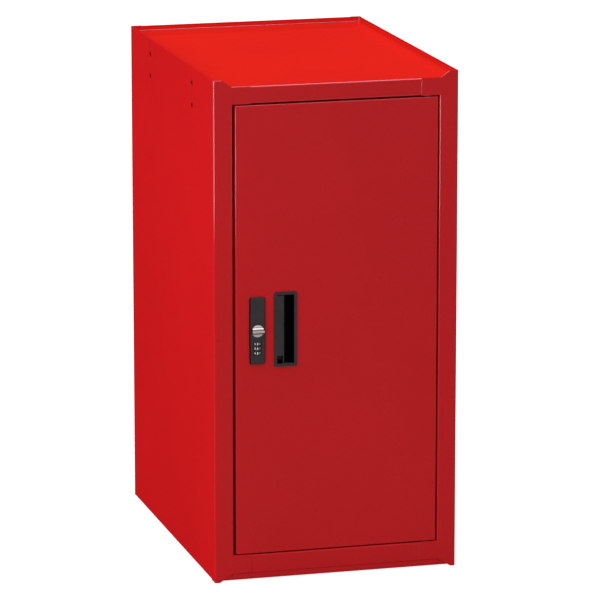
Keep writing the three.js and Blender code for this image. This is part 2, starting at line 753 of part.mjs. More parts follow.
// Lock bezel on the door's face, with a seat for the knob and a window for each number wheel
function lockBezel() {
  const plate = bowedRect(LOCK_X, LOCK_Z, LOCK_WIDTH, LOCK_HEIGHT, LOCK_RADIUS, LOCK_BOW);
  let bezel = easedPlate(plate, FRONT - LOCK_PROUD, FRONT - GAP, LOCK_EDGE);
  bezel = bezel.subtract(rod('y', LOCK_X, KNOB_Z, KNOB_BORE, FRONT - LOCK_PROUD - 1, FRONT + 1));
  for (const step of [-1, 0, 1]) {
    const z = WHEELS_Z + step * WHEEL_PITCH;
    const window = rect(
      LOCK_X - WINDOW_WIDTH / 2,
      z - WINDOW_HEIGHT / 2,
      LOCK_X + WINDOW_WIDTH / 2,
      z + WINDOW_HEIGHT / 2,
    );
    bezel = bezel.subtract(prism(window, 'y', FRONT - LOCK_PROUD - 1, FRONT + 1));
  }
  return bezel;
}

// Lock body, clamped to the back of the door skin, with the wheel pocket, axle bore and spindle bore
function lockBody() {
  const rear = FRONT + LOCK_BODY_DEPTH;
  const plug = roundedRect(LOCK_X, LOCK_Z, LOCK_PLUG_WIDTH, LOCK_PLUG_HEIGHT, LOCK_RADIUS - GAP);
  const flange = roundedRect(LOCK_X, LOCK_Z, LOCK_FLANGE_WIDTH, LOCK_HEIGHT, LOCK_RADIUS);
  const pocketHalf = 1.5 * WHEEL_PITCH + GAP;
  const axleHalf = AXLE_LENGTH / 2 + GAP;
  let body = prism(plug, 'y', FRONT, rear);
  body = body.add(prism(flange, 'y', BEHIND_FRONT, BEHIND_FRONT + LOCK_FLANGE));
  body = body.subtract(rod('z', LOCK_X, WHEEL_Y, WHEEL_POCKET, WHEELS_Z - pocketHalf, WHEELS_Z + pocketHalf));
  body = body.subtract(
    rod('z', LOCK_X, WHEEL_Y, AXLE_RADIUS + GAP, WHEELS_Z - axleHalf, WHEELS_Z + axleHalf, SMALL_STEPS),
  );
  body = body.subtract(rod('y', LOCK_X, KNOB_Z, SPINDLE_RADIUS + GAP, FRONT - 1, rear + 1));
  for (const up of [-1, 1]) {
    const z = LOCK_Z + up * LOCK_SCREW_FROM_MIDDLE;
    const bottom = rear - LOCK_SCREW_LENGTH;
    body = body.subtract(rod('y', LOCK_X, z, LOCK_SCREW_RADIUS + GAP, bottom, rear + 1, SMALL_STEPS));
  }
  return body;
}

// Pan-head screw along Y: the head's underside is at y = 0, and the shank runs to the front
function screw(radius, length, head) {
  return turned(
    [
      [0, -length],
      [radius, -length],
      [radius, 0],
      [head, 0],
      [head, SCREW_HEAD_HEIGHT - 1],
      [head - 1, SCREW_HEAD_HEIGHT],
      [0, SCREW_HEAD_HEIGHT],
    ],
    'y',
    TURNED_FACETS / 2,
  );
}

// Number wheel round the Z axis: ten flats, with a finger notch between each two
function numberWheel() {
  const points = [];
  const pitch = 2 * Math.PI / WHEEL_DIGITS;
  const notch = pitch / 12;
  for (let i = 0; i < WHEEL_DIGITS; i += 1) {
    const middle = i * pitch;
    const edges = [
      [middle - notch, WHEEL_RADIUS],
      [middle, WHEEL_RADIUS - WHEEL_NOTCH],
      [middle + notch, WHEEL_RADIUS],
    ];
    points.push(...edges.map(([angle, r]) => [r * Math.cos(angle), r * Math.sin(angle)]));
  }
  const wheel = prism(outline(points), 'z', -WHEEL_THICKNESS / 2, WHEEL_THICKNESS / 2);
  return wheel.subtract(rod('z', 0, 0, AXLE_RADIUS + GAP, -WHEEL_THICKNESS, WHEEL_THICKNESS, SMALL_STEPS));
}

// Knob round the Y axis: a disc with a scoop above and below, which leave a level bar across its face.
// y = 0 is the door's face.
function lockKnob() {
  const scoopAxis = -GAP - KNOB_BASE - KNOB_SCOOP;
  const halfChord = Math.sqrt(KNOB_SCOOP ** 2 - (KNOB_RISE + scoopAxis) ** 2);
  const reach = KNOB_RADIUS + 1;
  let knob = rod('y', 0, 0, KNOB_RADIUS, -KNOB_RISE, -GAP, TURNED_FACETS / 2);
  for (const side of [-1, 1]) {
    const height = side * (KNOB_BAR / 2 + halfChord);
    knob = knob.subtract(rod('x', scoopAxis, height, KNOB_SCOOP, -reach, reach, TURNED_FACETS / 2));
  }
  return knob;
}

// Spindle round the Y axis, from behind the knob to its square end in the cam
function lockSpindle() {
  const shoulder = CAM_FRONT - GAP - FRONT;
  const end = CAM_FRONT + CAM_THICKNESS - GAP - FRONT;
  const half = SPINDLE_SQUARE / 2;
  const shaft = rod('y', 0, 0, SPINDLE_RADIUS, 0, shoulder);
  const square = prism(rect(-half, -half, half, half), 'y', shoulder - 1, end);
  const bore = rod('y', 0, 0, CAM_SCREW_RADIUS + GAP, end - CAM_SCREW_LENGTH, end + 1, SMALL_STEPS);
  return shaft.add(square).subtract(bore);
}

// Cam on the spindle's square, hanging down when the lock is open
function lockCam() {
  const tip = CAM_TIP_RADIUS - CAM_REACH;
  const half = SPINDLE_SQUARE / 2 + GAP;
  const shape = new THREE.Shape();
  shape.absarc(0, 0, CAM_HUB_RADIUS, 0, Math.PI, false);
  shape.absarc(0, tip, CAM_TIP_RADIUS, Math.PI, 2 * Math.PI, false);
  const front = CAM_FRONT - FRONT;
  const plate = prism(shape, 'y', front, front + CAM_THICKNESS, ROUND_STEPS / 2);
  return plate.subtract(prism(rect(-half, -half, half, half), 'y', front - 1, front + CAM_THICKNESS + 1));
}

// Cabinet
function buildCabinet() {
  const cabinet = new THREE.Group();
  addPiece(cabinet, 'left_side_panel', sidePanel(LEFT, true), RED_PAINT);
  addPiece(cabinet, 'right_side_panel', sidePanel(RIGHT, false), RED_PAINT);
  addPiece(cabinet, 'back_panel', backPanel(), RED_PAINT);
  addPiece(cabinet, 'top_pan', topPan(), RED_PAINT);
  addPiece(cabinet, 'floor_pan', floorPan(), RED_PAINT);
  addPiece(cabinet, 'toe_strip', toeStrip(), RED_PAINT);

  const wallFace = WIDTH / 2 - SHEET - GAP;
  const posts = [
    ['front_left', LEFT, -1],
    ['rear_left', LEFT, 1],
    ['front_right', RIGHT, -1],
    ['rear_right', RIGHT, 1],
  ];
  for (const [place, hand, end] of posts) {
    const post = addPiece(cabinet, `pilaster_${place}`, pilaster(), ZINC_PLATE);
    post.position.set(hand * wallFace, end * PILASTER_FROM_MIDDLE, 0);
    post.rotation.z = hand === LEFT ? 0 : Math.PI;
  }
  for (const [level, slot] of Object.entries(SHELF_SLOTS)) {
    const slotHeight = SLOT_FIRST + slot * SLOT_PITCH;
    for (const [place, hand, end] of posts) {
      const clip = addPiece(cabinet, `${level}_shelf_clip_${place}`, shelfClip(), ZINC_PLATE);
      clip.position.set(hand * (wallFace - PILASTER_DEPTH), end * PILASTER_FROM_MIDDLE, slotHeight);
      clip.rotation.z = hand === LEFT ? 0 : Math.PI;
    }
    const board = addPiece(cabinet, `${level}_shelf`, shelf(), RED_PAINT);
    board.position.z = slotHeight + CLIP_TONGUE_DROP + GAP;
  }

  const lowerPin = addPiece(cabinet, 'lower_pivot_pin', pivotPin(), ZINC_PLATE);
  lowerPin.position.set(PIVOT_X, PIVOT_Y, FLOOR_TOP);
  const upperPin = addPiece(cabinet, 'upper_pivot_pin', pivotPin(), ZINC_PLATE);
  upperPin.position.set(PIVOT_X, PIVOT_Y, HEAD_UNDERSIDE);
  upperPin.rotation.x = Math.PI;
  for (const [level, height] of Object.entries(BUFFER_HEIGHTS)) {
    const buffer = addPiece(cabinet, `${level}_door_buffer`, doorBuffer(), BLACK_RUBBER);
    buffer.position.set(-(WIDTH / 2 - STILE - STOP + BUFFER_FROM_EDGE), 0, height);
  }
  return cabinet;
}

// Door with its pull and the fixed pieces of its lock
function buildDoor() {
  const door = new THREE.Group();
  addPiece(door, 'door_skin', doorSkin(), RED_PAINT);
  addPiece(door, 'door_stiffener', doorStiffener(), RED_PAINT);
  const lowerBush = addPiece(door, 'lower_pivot_bush', pivotBush(DOOR_BOTTOM - FLOOR_TOP), BLACK_NYLON);
  lowerBush.position.set(PIVOT_X, PIVOT_Y, DOOR_BOTTOM);
  const upperBush = addPiece(door, 'upper_pivot_bush', pivotBush(HEAD_UNDERSIDE - DOOR_TOP), BLACK_NYLON);
  upperBush.position.set(PIVOT_X, PIVOT_Y, DOOR_TOP);
  upperBush.rotation.x = Math.PI;
  addPiece(door, 'flush_pull', flushPull(), BLACK_PLASTIC);
  addPiece(door, 'lock_bezel', lockBezel(), BLACK_PLASTIC);
  addPiece(door, 'lock_body', lockBody(), ZINC_PLATE);
  for (const [level, up] of Object.entries({ lower: -1, upper: 1 })) {
    const fixing = screw(LOCK_SCREW_RADIUS, LOCK_SCREW_LENGTH - 2 * GAP, LOCK_SCREW_HEAD);
    const mesh = addPiece(door, `${level}_lock_screw`, fixing, ZINC_PLATE);
    mesh.position.set(LOCK_X, FRONT + LOCK_BODY_DEPTH + GAP, LOCK_Z + up * LOCK_SCREW_FROM_MIDDLE);
  }
  const axleEnds = [WHEELS_Z - AXLE_LENGTH / 2, WHEELS_Z + AXLE_LENGTH / 2];
  const axle = rod('z', LOCK_X, WHEEL_Y, AXLE_RADIUS, ...axleEnds, SMALL_STEPS);
  addPiece(door, 'wheel_axle', axle, ZINC_PLATE);
  return door;
}

// Number wheels, the first one on top
function buildWheels() {
  const wheels = new THREE.Group();
  wheels.position.set(LOCK_X, WHEEL_Y, WHEELS_Z);
  [1, 0, -1].forEach((step, i) => {
    const wheel = addPiece(wheels, `number_wheel_${i + 1}`, numberWheel(), BLACK_PLASTIC);
    wheel.position.z = step * WHEEL_PITCH;
  });
  return wheels;
}

// What turns with the knob
function buildKnob() {
  const knob = new THREE.Group();
  knob.position.set(LOCK_X, FRONT, KNOB_Z);
  addPiece(knob, 'lock_knob', lockKnob(), SATIN_NICKEL);
  addPiece(knob, 'lock_spindle', lockSpindle(), ZINC_PLATE);
  addPiece(knob, 'lock_cam', lockCam(), ZINC_PLATE);
  const fixing = screw(CAM_SCREW_RADIUS, CAM_SCREW_LENGTH - 2 * GAP, CAM_SCREW_HEAD);
  const camScrew = addPiece(knob, 'cam_screw', fixing, ZINC_PLATE);
  camScrew.position.y = CAM_FRONT + CAM_THICKNESS + GAP - FRONT;
  return knob;
}

const locker = new THREE.Group();
locker.add(buildCabinet(), buildDoor(), buildWheels(), buildKnob());
locker.position.y = KNOB_RISE / 2;

export default locker;
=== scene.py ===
"""Dresses a tool chest side locker: powder-coated sheet steel, a moulded pull and a number-wheel cam lock."""

import logging
import math
from collections.abc import Callable, Iterable, Iterator
from contextlib import contextmanager
from dataclasses import dataclass, field
from enum import Enum, IntEnum
from functools import cached_property
from typing import Any

import bmesh
import bpy
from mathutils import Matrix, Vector


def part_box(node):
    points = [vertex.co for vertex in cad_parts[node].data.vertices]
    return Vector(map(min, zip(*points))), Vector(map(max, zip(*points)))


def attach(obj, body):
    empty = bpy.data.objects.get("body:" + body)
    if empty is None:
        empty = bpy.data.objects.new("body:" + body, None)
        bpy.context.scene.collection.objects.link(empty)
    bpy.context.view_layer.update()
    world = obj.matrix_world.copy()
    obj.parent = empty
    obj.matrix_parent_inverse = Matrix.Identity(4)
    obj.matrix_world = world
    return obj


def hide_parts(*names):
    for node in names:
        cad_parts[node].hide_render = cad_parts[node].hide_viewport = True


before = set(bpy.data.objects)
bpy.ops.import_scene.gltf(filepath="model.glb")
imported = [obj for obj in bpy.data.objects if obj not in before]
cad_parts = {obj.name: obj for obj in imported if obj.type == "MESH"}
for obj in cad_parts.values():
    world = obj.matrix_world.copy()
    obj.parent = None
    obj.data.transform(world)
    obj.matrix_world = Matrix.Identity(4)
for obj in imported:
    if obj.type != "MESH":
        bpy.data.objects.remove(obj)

LOG = logging.getLogger("side_locker")
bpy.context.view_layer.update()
MM = 0.001
RIGHT_ANGLE = math.pi / 2
HAIR = 0.01 * MM
SAME_POINT = 0.002 * MM
SAME_PLANE = math.radians(0.5)

# How much of a face's normal lies along an axis
FLAT_ENOUGH = 0.97
MOSTLY = 0.5
PARTLY = 0.3
SLIGHTLY = 0.1

Colour = tuple[float, float, float]
Range = tuple[float, float]


class Slot(Enum):
    """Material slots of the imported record."""

    RED_PAINT = "red_paint"
    BLACK_PLASTIC = "black_plastic"
    WHEEL_BLACK = "wheel_black"
    SATIN_NICKEL = "satin_nickel"
    ZINC_PLATE = "zinc_plate"
    NYLON = "nylon"
    RUBBER = "rubber"


class Body(Enum):
    """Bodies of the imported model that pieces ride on."""

    CABINET = "cabinet"
    DOOR = "door"
    KNOB = "knob"
    WHEEL_1 = "wheel_1"
    WHEEL_2 = "wheel_2"
    WHEEL_3 = "wheel_3"


class Join(Enum):
    """How one solid is worked into another."""

    CUT = "DIFFERENCE"
    WELD = "UNION"


class Element(Enum):
    """Kinds of mesh element that are picked in edit mode."""

    VERTEX = "VERT"
    EDGE = "EDGE"
    FACE = "FACE"


class Along(Enum):
    """Turns that lay a rod along an axis."""

    X = (0.0, RIGHT_ANGLE, 0.0)
    Y = (RIGHT_ANGLE, 0.0, 0.0)


class Coat(IntEnum):
    """Coats of red paint on one sheet, by material index; LIPS, REAR_LIP and TRAY are painted light, BROWS
    painted shade and CORNERS a painted highlight.
    """

    FLATS = 0
    EDGES = 1
    LIPS = 2
    BROWS = 3
    CORNERS = 4
    TRAY = 5
    REAR_LIP = 6


# Modelling

def only(*objects: bpy.types.Object) -> None:
    """Select these objects and no others, with the first one active.

    Args:
        *objects: The objects.
    """
    bpy.ops.object.select_all(action="DESELECT")
    for obj in objects:
        obj.select_set(True)
    bpy.context.view_layer.objects.active = objects[0]


def put(name: str, data: bpy.types.ID) -> bpy.types.Object:
    """Put a new object into the scene.

    Args:
        name: The object's name.
        data: Its mesh, lamp or camera.

    Returns:
        The new object.
    """
    obj = bpy.data.objects.new(name, data)
    bpy.context.scene.collection.objects.link(obj)
    return obj


def add(primitive: Callable[..., object], **settings: object) -> bpy.types.Object:
    """Add a primitive, with nothing else selected.

    Args:
        primitive: The operator that adds it.
        **settings: The operator's own settings.

    Returns:
        The new object.
    """
    bpy.ops.object.select_all(action="DESELECT")
    primitive(**settings)
    return bpy.context.active_object


def joined(parts: list[bpy.types.Object]) -> bpy.types.Object:
    """Join objects into one.

    Args:
        parts: The mesh objects.

    Returns:
        The first of them, with all their meshes.
    """
    only(*parts)
    bpy.ops.object.join()
    return bpy.context.active_object


@contextmanager
def editing(obj: bpy.types.Object) -> Iterator[None]:
    """Open an object's mesh for edit operators, with nothing selected at first.

    Args:
        obj: The mesh object to edit.
    """
    only(obj)
    bpy.ops.object.mode_set(mode="EDIT")
    bpy.ops.mesh.select_all(action="DESELECT")
    yield
    bpy.ops.object.mode_set(mode="OBJECT")


def pick(obj: bpy.types.Object, kind: Element, test: Callable[[Any], bool]) -> None:
    """Select the elements of an object in edit mode that pass a test, and nothing else.

    Args:
        obj: The object in edit mode.
        kind: Which kind of element is picked.
        test: Says by an element's place or normal whether it is wanted.
    """
    bpy.ops.mesh.select_mode(type=kind.value)
    bpy.ops.mesh.select_all(action="DESELECT")
    mesh = bmesh.from_edit_mesh(obj.data)
    elements = {Element.VERTEX: mesh.verts, Element.EDGE: mesh.edges, Element.FACE: mesh.faces}[kind]
    for element in elements:
        if test(element):
            element.select_set(True)
    mesh.select_flush_mode()
    bmesh.update_edit_mesh(obj.data)


def pick_all() -> None:
    """Select the whole mesh of the object in edit mode."""
    bpy.ops.mesh.select_all(action="SELECT")


def settle(obj: bpy.types.Object) -> bpy.types.Object:
    """Put an object's place, turn and scale into its mesh.

    Args:
        obj: The mesh object.

    Returns:
        The same object, at the origin.
    """
    only(obj)
    bpy.ops.object.transform_apply(location=True, rotation=True, scale=True)
    return obj


def modify(obj: bpy.types.Object, kind: str, **settings: object) -> None:
    """Add a modifier to an object and apply it.

    Args:
        obj: The mesh object.
        kind: The modifier's type.
        **settings: Values for the modifier's own fields.
    """
    only(obj)
    modifier = obj.modifiers.new(kind.title(), kind)
    for name, value in settings.items():
        setattr(modifier, name, value)
    bpy.ops.object.modifier_apply(modifier=modifier.name)


def work_in(obj: bpy.types.Object, tool: bpy.types.Object, join: Join) -> None:
    """Cut a tool solid out of an object or weld it on, and throw the tool away.

    Args:
        obj: The solid that stays.
        tool: The solid that is used up.
        join: Whether the tool cuts or adds.
    """
    modify(obj, "BOOLEAN", object=tool, operation=join.value, solver="MANIFOLD")
    bpy.data.objects.remove(tool, do_unlink=True)


def soften(obj: bpy.types.Object, radius: float, steps: int = 2, angle: float = 50.0) -> None:
    """Round every edge sharper than an angle, and shade the rounded surface smooth.

    Args:
        obj: The mesh object.
        radius: Width of the rounding in metres.
        steps: Facets across a rounding.
        angle: Least angle in degrees of an edge that is rounded.
    """
    limit = math.radians(angle)
    modify(obj, "BEVEL", width=radius, segments=steps, limit_method="ANGLE", angle_limit=limit)
    only(obj)
    bpy.ops.object.shade_smooth_by_angle(angle=limit)
    modify(obj, "WEIGHTED_NORMAL", keep_sharp=True, weight=100)


def merged(node: str) -> bpy.types.Object:
    """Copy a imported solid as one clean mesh.

    Args:
        node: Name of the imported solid.

    Returns:
        The new object, which rides on nothing yet.
    """
    obj = put(f"{node}_finished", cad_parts[node].data.copy())
    obj.data.materials.clear()
    with editing(obj):
        pick_all()
        bpy.ops.mesh.remove_doubles(threshold=SAME_POINT)
        bpy.ops.mesh.dissolve_limited(angle_limit=SAME_PLANE)
    return obj


def middle_of(node: str) -> Vector:
    """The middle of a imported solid's box."""
    low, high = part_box(node)
    return (low + high) / 2


def box_tool(low: Vector, high: Vector) -> bpy.types.Object:
    """Add a block between two corners, as a start or as a cutter.

    Args:
        low: Its lowest corner.
        high: Its highest corner.

    Returns:
        The block.
    """
    obj = add(bpy.ops.mesh.primitive_cube_add, size=1, location=(low + high) / 2)
    obj.scale = high - low
    return settle(obj)


def round_tool(
    centre: Vector,
    radius: float,
    length: float,
    turn: Iterable[float] = Along.Y.value,
    facets: int = 64,
) -> bpy.types.Object:
    """Add a rod, as a start or as a cutter.

    Args:
        centre: Its middle point.
        radius: Its radius.
        length: Its length.
        turn: How it is turned from upright.
        facets: How many sides it has.

    Returns:
        The rod.
    """
    obj = add(
        bpy.ops.mesh.primitive_cylinder_add,
        vertices=facets,
        radius=radius,
        depth=length,
        location=centre,
        rotation=turn,
    )
    return settle(obj)


def rod_between(
    start: Vector,
    end: Vector,
    radius: float,
    facets: int = 16,
    rounding: float = 0.9,
    steps: int = 4,
) -> bpy.types.Object:
    """Add a thin rod with round ends from one point to another.

    Args:
        start: Middle of its first end.
        end: Middle of its other end.
        radius: Its radius.
        facets: How many sides it has.
        rounding: Share of the radius by which its ends are rounded.
        steps: Facets across the rounding.

    Returns:
        The rod.
    """
    run = end - start
    turn = run.to_track_quat("Z", "Y").to_euler()
    rod = round_tool((start + end) / 2, radius, run.length, turn, facets)
    with editing(rod):
        pick(rod, Element.EDGE, lambda edge: edge.calc_length() < radius)
        bpy.ops.mesh.bevel(offset=rounding * radius, segments=steps)
    return rod


def plate(low: Vector, high: Vector) -> bpy.types.Object:
    """Add a flat plate that faces the front.

    Args:
        low: Lowest corner, whose Y is the plate's.
        high: Highest corner.

    Returns:
        The plate, one face.
    """
    middle = Vector(((low.x + high.x) / 2, low.y, (low.z + high.z) / 2))
    obj = add(bpy.ops.mesh.primitive_plane_add, size=1, location=middle, rotation=(RIGHT_ANGLE, 0, 0))
    obj.scale = (high.x - low.x, high.z - low.z, 1)
    return settle(obj)


def round_plate(low: Vector, high: Vector, corner: float, steps: int = 6) -> bpy.types.Object:
    """Add a flat plate with round corners that faces the front.

    Args:
        low: Lowest corner, whose Y is the plate's.
        high: Highest corner.
        corner: Radius of the corners.
        steps: Facets round a corner.

    Returns:
        The plate, one face.
    """
    obj = plate(low, high)
    with editing(obj):
        pick_all()
        bpy.ops.mesh.bevel(offset=corner, segments=steps, affect="VERTICES")
    return obj


def push(distance: float) -> None:
    """Extrude what is selected in edit mode towards the back, or towards the front by less than 0."""
    bpy.ops.mesh.extrude_region_move(TRANSFORM_OT_translate={"value": (0, distance, 0)})


# Finishes

RED: Colour = (0.56, 0.0095, 0.0116)
# Painted light: the tray's red is a touch lighter and warmer than RED, standing in for the strong light on
# the top
TRAY_RED_PAINTED_LIGHT: Colour = (0.577, 0.0135, 0.009)
WHITE = (1.0, 1.0, 1.0, 1.0)
# Where most values of a cloudy noise lie, and where all values lie
NOISE_RANGE: Range = (0.3, 0.7)
WHOLE_RANGE: Range = (0.0, 1.0)
# By how many radians a wave texture goes on in one metre, at a scale of 1
WAVE_PACE = 20.0
# How smooth and glossy thick paint is
THICK_PAINT = {"roughness": (0.18, 0.22), "gloss": 1.0}


@dataclass(frozen=True)
class Grain:
    """Cloudy noise, by the size of its patches and how much finer noise is laid over them."""

    size: float
    detail: float = 2.0


class NodeSheet:
    """The nodes of a material or of the world, with short calls to add them and join them."""

    def __init__(self, owner: bpy.types.Material | bpy.types.World, shader: str = "Principled BSDF") -> None:
        """Start from the owner's own shader.

        Args:
            owner: The material or the world.
            shader: Name of its shader's node.
        """
        owner.use_nodes = True
        self.nodes = owner.node_tree.nodes
        self.links = owner.node_tree.links
        self.surface = self.nodes[shader]

    @cached_property
    def place(self) -> bpy.types.NodeSocket:
        """The piece's own coordinates."""
        return self.nodes.new("ShaderNodeTexCoord").outputs["Object"]

    def fill(self, node: bpy.types.Node, inputs: dict[str | int, object]) -> None:
        """Give a node's inputs plain values or other nodes' outputs.

        Args:
            node: The node.
            inputs: Value or output socket by the input's name or number.
        """
        for name, value in inputs.items():
            if isinstance(value, bpy.types.NodeSocket):
                self.links.new(value, node.inputs[name])
            else:
                node.inputs[name].default_value = value

    def add(self, kind: str, inputs: dict[str | int, object], **settings: object) -> bpy.types.Node:
        """Add a node.

        Args:
            kind: The node's type after "ShaderNode".
            inputs: Value or output socket by the input's name or number.
            **settings: Values for the node's own fields.

        Returns:
            The new node.
        """
        node = self.nodes.new(f"ShaderNode{kind}")
        for name, value in settings.items():
            setattr(node, name, value)
        self.fill(node, inputs)
        return node

    def noise(self, grain: Grain) -> bpy.types.NodeSocket:
        """Cloudy noise.

        Args:
            grain: Size and detail of its patches.

        Returns:
            A value from 0 to 1.
        """
        inputs = {"Vector": self.place, "Scale": 1 / grain.size, "Detail": grain.detail}
        return self.add("TexNoise", inputs).outputs["Fac"]

    def cells(self, size: float) -> bpy.types.NodeSocket:
        """Cells, each with its own value.

        Args:
            size: About how far a cell reaches, in metres.

        Returns:
            A value from 0 to 1.
        """
        cells = self.add("TexVoronoi", {"Vector": self.place, "Scale": 1 / size})
        return self.add("SeparateColor", {"Color": cells.outputs["Color"]}).outputs["Red"]

    def spread(
        self,
        value: bpy.types.NodeSocket,
        to: Range,
        source: Range = NOISE_RANGE,
    ) -> bpy.types.NodeSocket:
        """Stretch a value from one range to another.

        Args:
            value: The value.
            to: What the ends of the source range become.
            source: The range that is stretched.

        Returns:
            The stretched value.
        """
        inputs = {
            "Value": value,
            "From Min": source[0],
            "From Max": source[1],
            "To Min": to[0],
            "To Max": to[1],
        }
        return self.add("MapRange", inputs).outputs["Result"]

    def tones(self, value: bpy.types.NodeSocket, dark: Colour, light: Colour) -> bpy.types.NodeSocket:
        """Colours between two tones.

        Args:
            value: Where between the tones, in the range of a noise.
            dark: Tone at the low end.
            light: Tone at the high end.

        Returns:
            The colour.
        """
        node = self.add("ValToRGB", {"Fac": value})
        for element, position, tone in zip(node.color_ramp.elements, NOISE_RANGE, (dark, light)):
            element.position = position
            element.color = (*tone, 1.0)
        return node.outputs["Color"]

    def relief(
        self,
        height: bpy.types.NodeSocket,
        depth: float,
        under: bpy.types.NodeSocket | None = None,
    ) -> bpy.types.NodeSocket:
        """A fine relief on the surface.

        Args:
            height: The relief from 0 to 1.
            depth: What a height of 1 stands for in metres.
            under: A broader relief below this one.

        Returns:
            The normal of the surface.
        """
        inputs: dict[str | int, object] = {"Height": height, "Distance": depth, "Strength": 1.0}
        if under is not None:
            inputs["Normal"] = under
        return self.add("Bump", inputs).outputs["Normal"]


def shade(colour: Colour, amount: float) -> Colour:
    """A colour made darker or lighter.

    Args:
        colour: The colour.
        amount: What each channel is multiplied by.

    Returns:
        The new colour.
    """
    return tuple(min(channel * amount, 1.0) for channel in colour)


@dataclass(frozen=True)
class Finish:
    """What every finish has: a slot of the record, and a colour and a roughness that vary a little."""

    name: str
    slot: Slot
    colour: Colour
    shares: Range
    roughness: Range

    def material(self) -> bpy.types.Material:
        """Make the finish's material, once.

        Returns:
            The material.
        """
        made = bpy.data.materials.get(self.name)
        if made is None:
            made = bpy.data.materials.new(self.name)
            self.draw(NodeSheet(made))
        return made

    def draw(self, sheet: NodeSheet) -> None:
        """Lay the finish out in a material's nodes.

        Args:
            sheet: The material's nodes.
        """
        raise NotImplementedError

    def vary(
        self,
        sheet: NodeSheet,
        tone: bpy.types.NodeSocket,
        haze: bpy.types.NodeSocket,
        normal: bpy.types.NodeSocket,
        source: Range = NOISE_RANGE,
    ) -> None:
        """Give a material's surface its uneven colour and roughness, and its relief.

        Args:
            sheet: The material's nodes.
            tone: What the colour follows, between its two shares.
            haze: What the roughness follows.
            normal: The normal of the relief.
            source: The range of the haze that is stretched to the roughness.
        """
        dark, light = (shade(self.colour, share) for share in self.shares)
        sheet.fill(
            sheet.surface,
            {
                "Base Color": sheet.tones(tone, dark, light),
                "Roughness": sheet.spread(haze, self.roughness, source),
                "Normal": normal,
            },
        )


@dataclass(frozen=True)
class PowderCoat(Finish):
    """Baked powder paint: uneven, with orange peel, and a gloss that may fade at flat angles or low down."""

    shares: Range = (0.965, 1.035)
    roughness: Range = (0.27, 0.35)
    gloss: float = 0.15
    grazing_gloss: float = 0.0
    grazing: Range = (0.35, 0.7)
    rubbed: Range | None = None
    worn: float = 0.3
    glare: tuple[float, float, float, float] = (0.75, 0.86, 1.0, 1.0)
    cloud: Grain = Grain(250 * MM, 4.0)
    haze: Grain = Grain(18 * MM, 3.0)
    peel: Grain = Grain(2.6 * MM, 1.0)
    peel_depth: float = 0.02 * MM
    wave: Grain = Grain(60 * MM, 0.0)
    wave_depth: float = 0.12 * MM

    def draw(self, sheet: NodeSheet) -> None:
        """Lay the finish out in a material's nodes.

        Args:
            sheet: The material's nodes.
        """
        sheet.fill(sheet.surface, {"Specular IOR Level": self.shine(sheet), "Specular Tint": self.glare})
        wave = sheet.relief(sheet.noise(self.wave), self.wave_depth)
        peel = sheet.relief(sheet.noise(self.peel), self.peel_depth, wave)
        self.vary(sheet, sheet.noise(self.cloud), sheet.noise(self.haze), peel)

    def shine(self, sheet: NodeSheet) -> bpy.types.NodeSocket | float:
        """The gloss: even, or less where the paint is rubbed low down, or less at flat angles.

        Args:
            sheet: The material's nodes.

        Returns:
            The gloss, or the output that gives it.
        """
        if self.rubbed is not None:
            height = sheet.add("SeparateXYZ", {"Vector": sheet.place}).outputs["Z"]
            return sheet.spread(height, (self.gloss * self.worn, self.gloss), self.rubbed)
        if self.grazing_gloss != self.gloss:
            facing = sheet.add("LayerWeight", {}).outputs["Facing"]
            return sheet.spread(facing, (self.gloss, self.grazing_gloss), self.grazing)
        return self.gloss


def red_coat(part: str, colour: Colour, **settings: object) -> PowderCoat:
    """Mix the red paint's coat for one part of the sheets.

    Args:
        part: What it is for, as the end of its name.
        colour: Its colour.
        **settings: Other values of the coat.

    Returns:
        The coat.
    """
    return PowderCoat(f"red_powder_coat_{part}", Slot.RED_PAINT, colour, **settings)


@dataclass(frozen=True)
class MouldedPlastic(Finish):
    """Injection-moulded plastic with a spark-eroded grain."""

    shares: Range = (0.8, 1.2)
    roughness: Range = (0.42, 0.55)
    gloss: float = 0.3
    cloud: Grain = Grain(9 * MM, 3.0)
    haze: Grain = Grain(3 * MM)
    grain: Grain = Grain(0.5 * MM)
    depth: float = 0.02 * MM

    def draw(self, sheet: NodeSheet) -> None:
        """Lay the finish out in a material's nodes.

        Args:
            sheet: The material's nodes.
        """
        sheet.fill(sheet.surface, {"Specular IOR Level": self.gloss})
        relief = sheet.relief(sheet.noise(self.grain), self.depth)
        self.vary(sheet, sheet.noise(self.cloud), sheet.noise(self.haze), relief)


@dataclass(frozen=True)
class TurnedMetal(Finish):
    """Plated metal with the fine rings that turning leaves round an axis along Y."""

    shares: Range = (0.92, 1.06)
    roughness: Range = (0.2, 0.32)
    axis: tuple[float, float, float] = (0.0, 0.0, 0.0)
    cloud: Grain = Grain(5 * MM, 3.0)
    ring: float = 0.22 * MM
    ring_depth: float = 0.004 * MM
    unevenness: float = 1.5
    glare: tuple[float, float, float, float] = (0.5, 0.5, 0.5, 1.0)

    def draw(self, sheet: NodeSheet) -> None:
        """Lay the finish out in a material's nodes.

        Args:
            sheet: The material's nodes.
        """
        to_axis = tuple(-part for part in self.axis)
        centred = sheet.add("Mapping", {"Vector": sheet.place, "Location": to_axis})
        turns = {
            "Vector": centred.outputs["Vector"],
            "Scale": 2 * math.pi / (WAVE_PACE * self.ring),
            "Distortion": self.unevenness,
        }
        rings = sheet.add("TexWave", turns, wave_type="RINGS", rings_direction="Y").outputs["Fac"]
        sheet.fill(sheet.surface, {"Metallic": 1.0, "Specular Tint": self.glare})
        relief = sheet.relief(rings, self.ring_depth)
        self.vary(sheet, sheet.noise(self.cloud), rings, relief, WHOLE_RANGE)


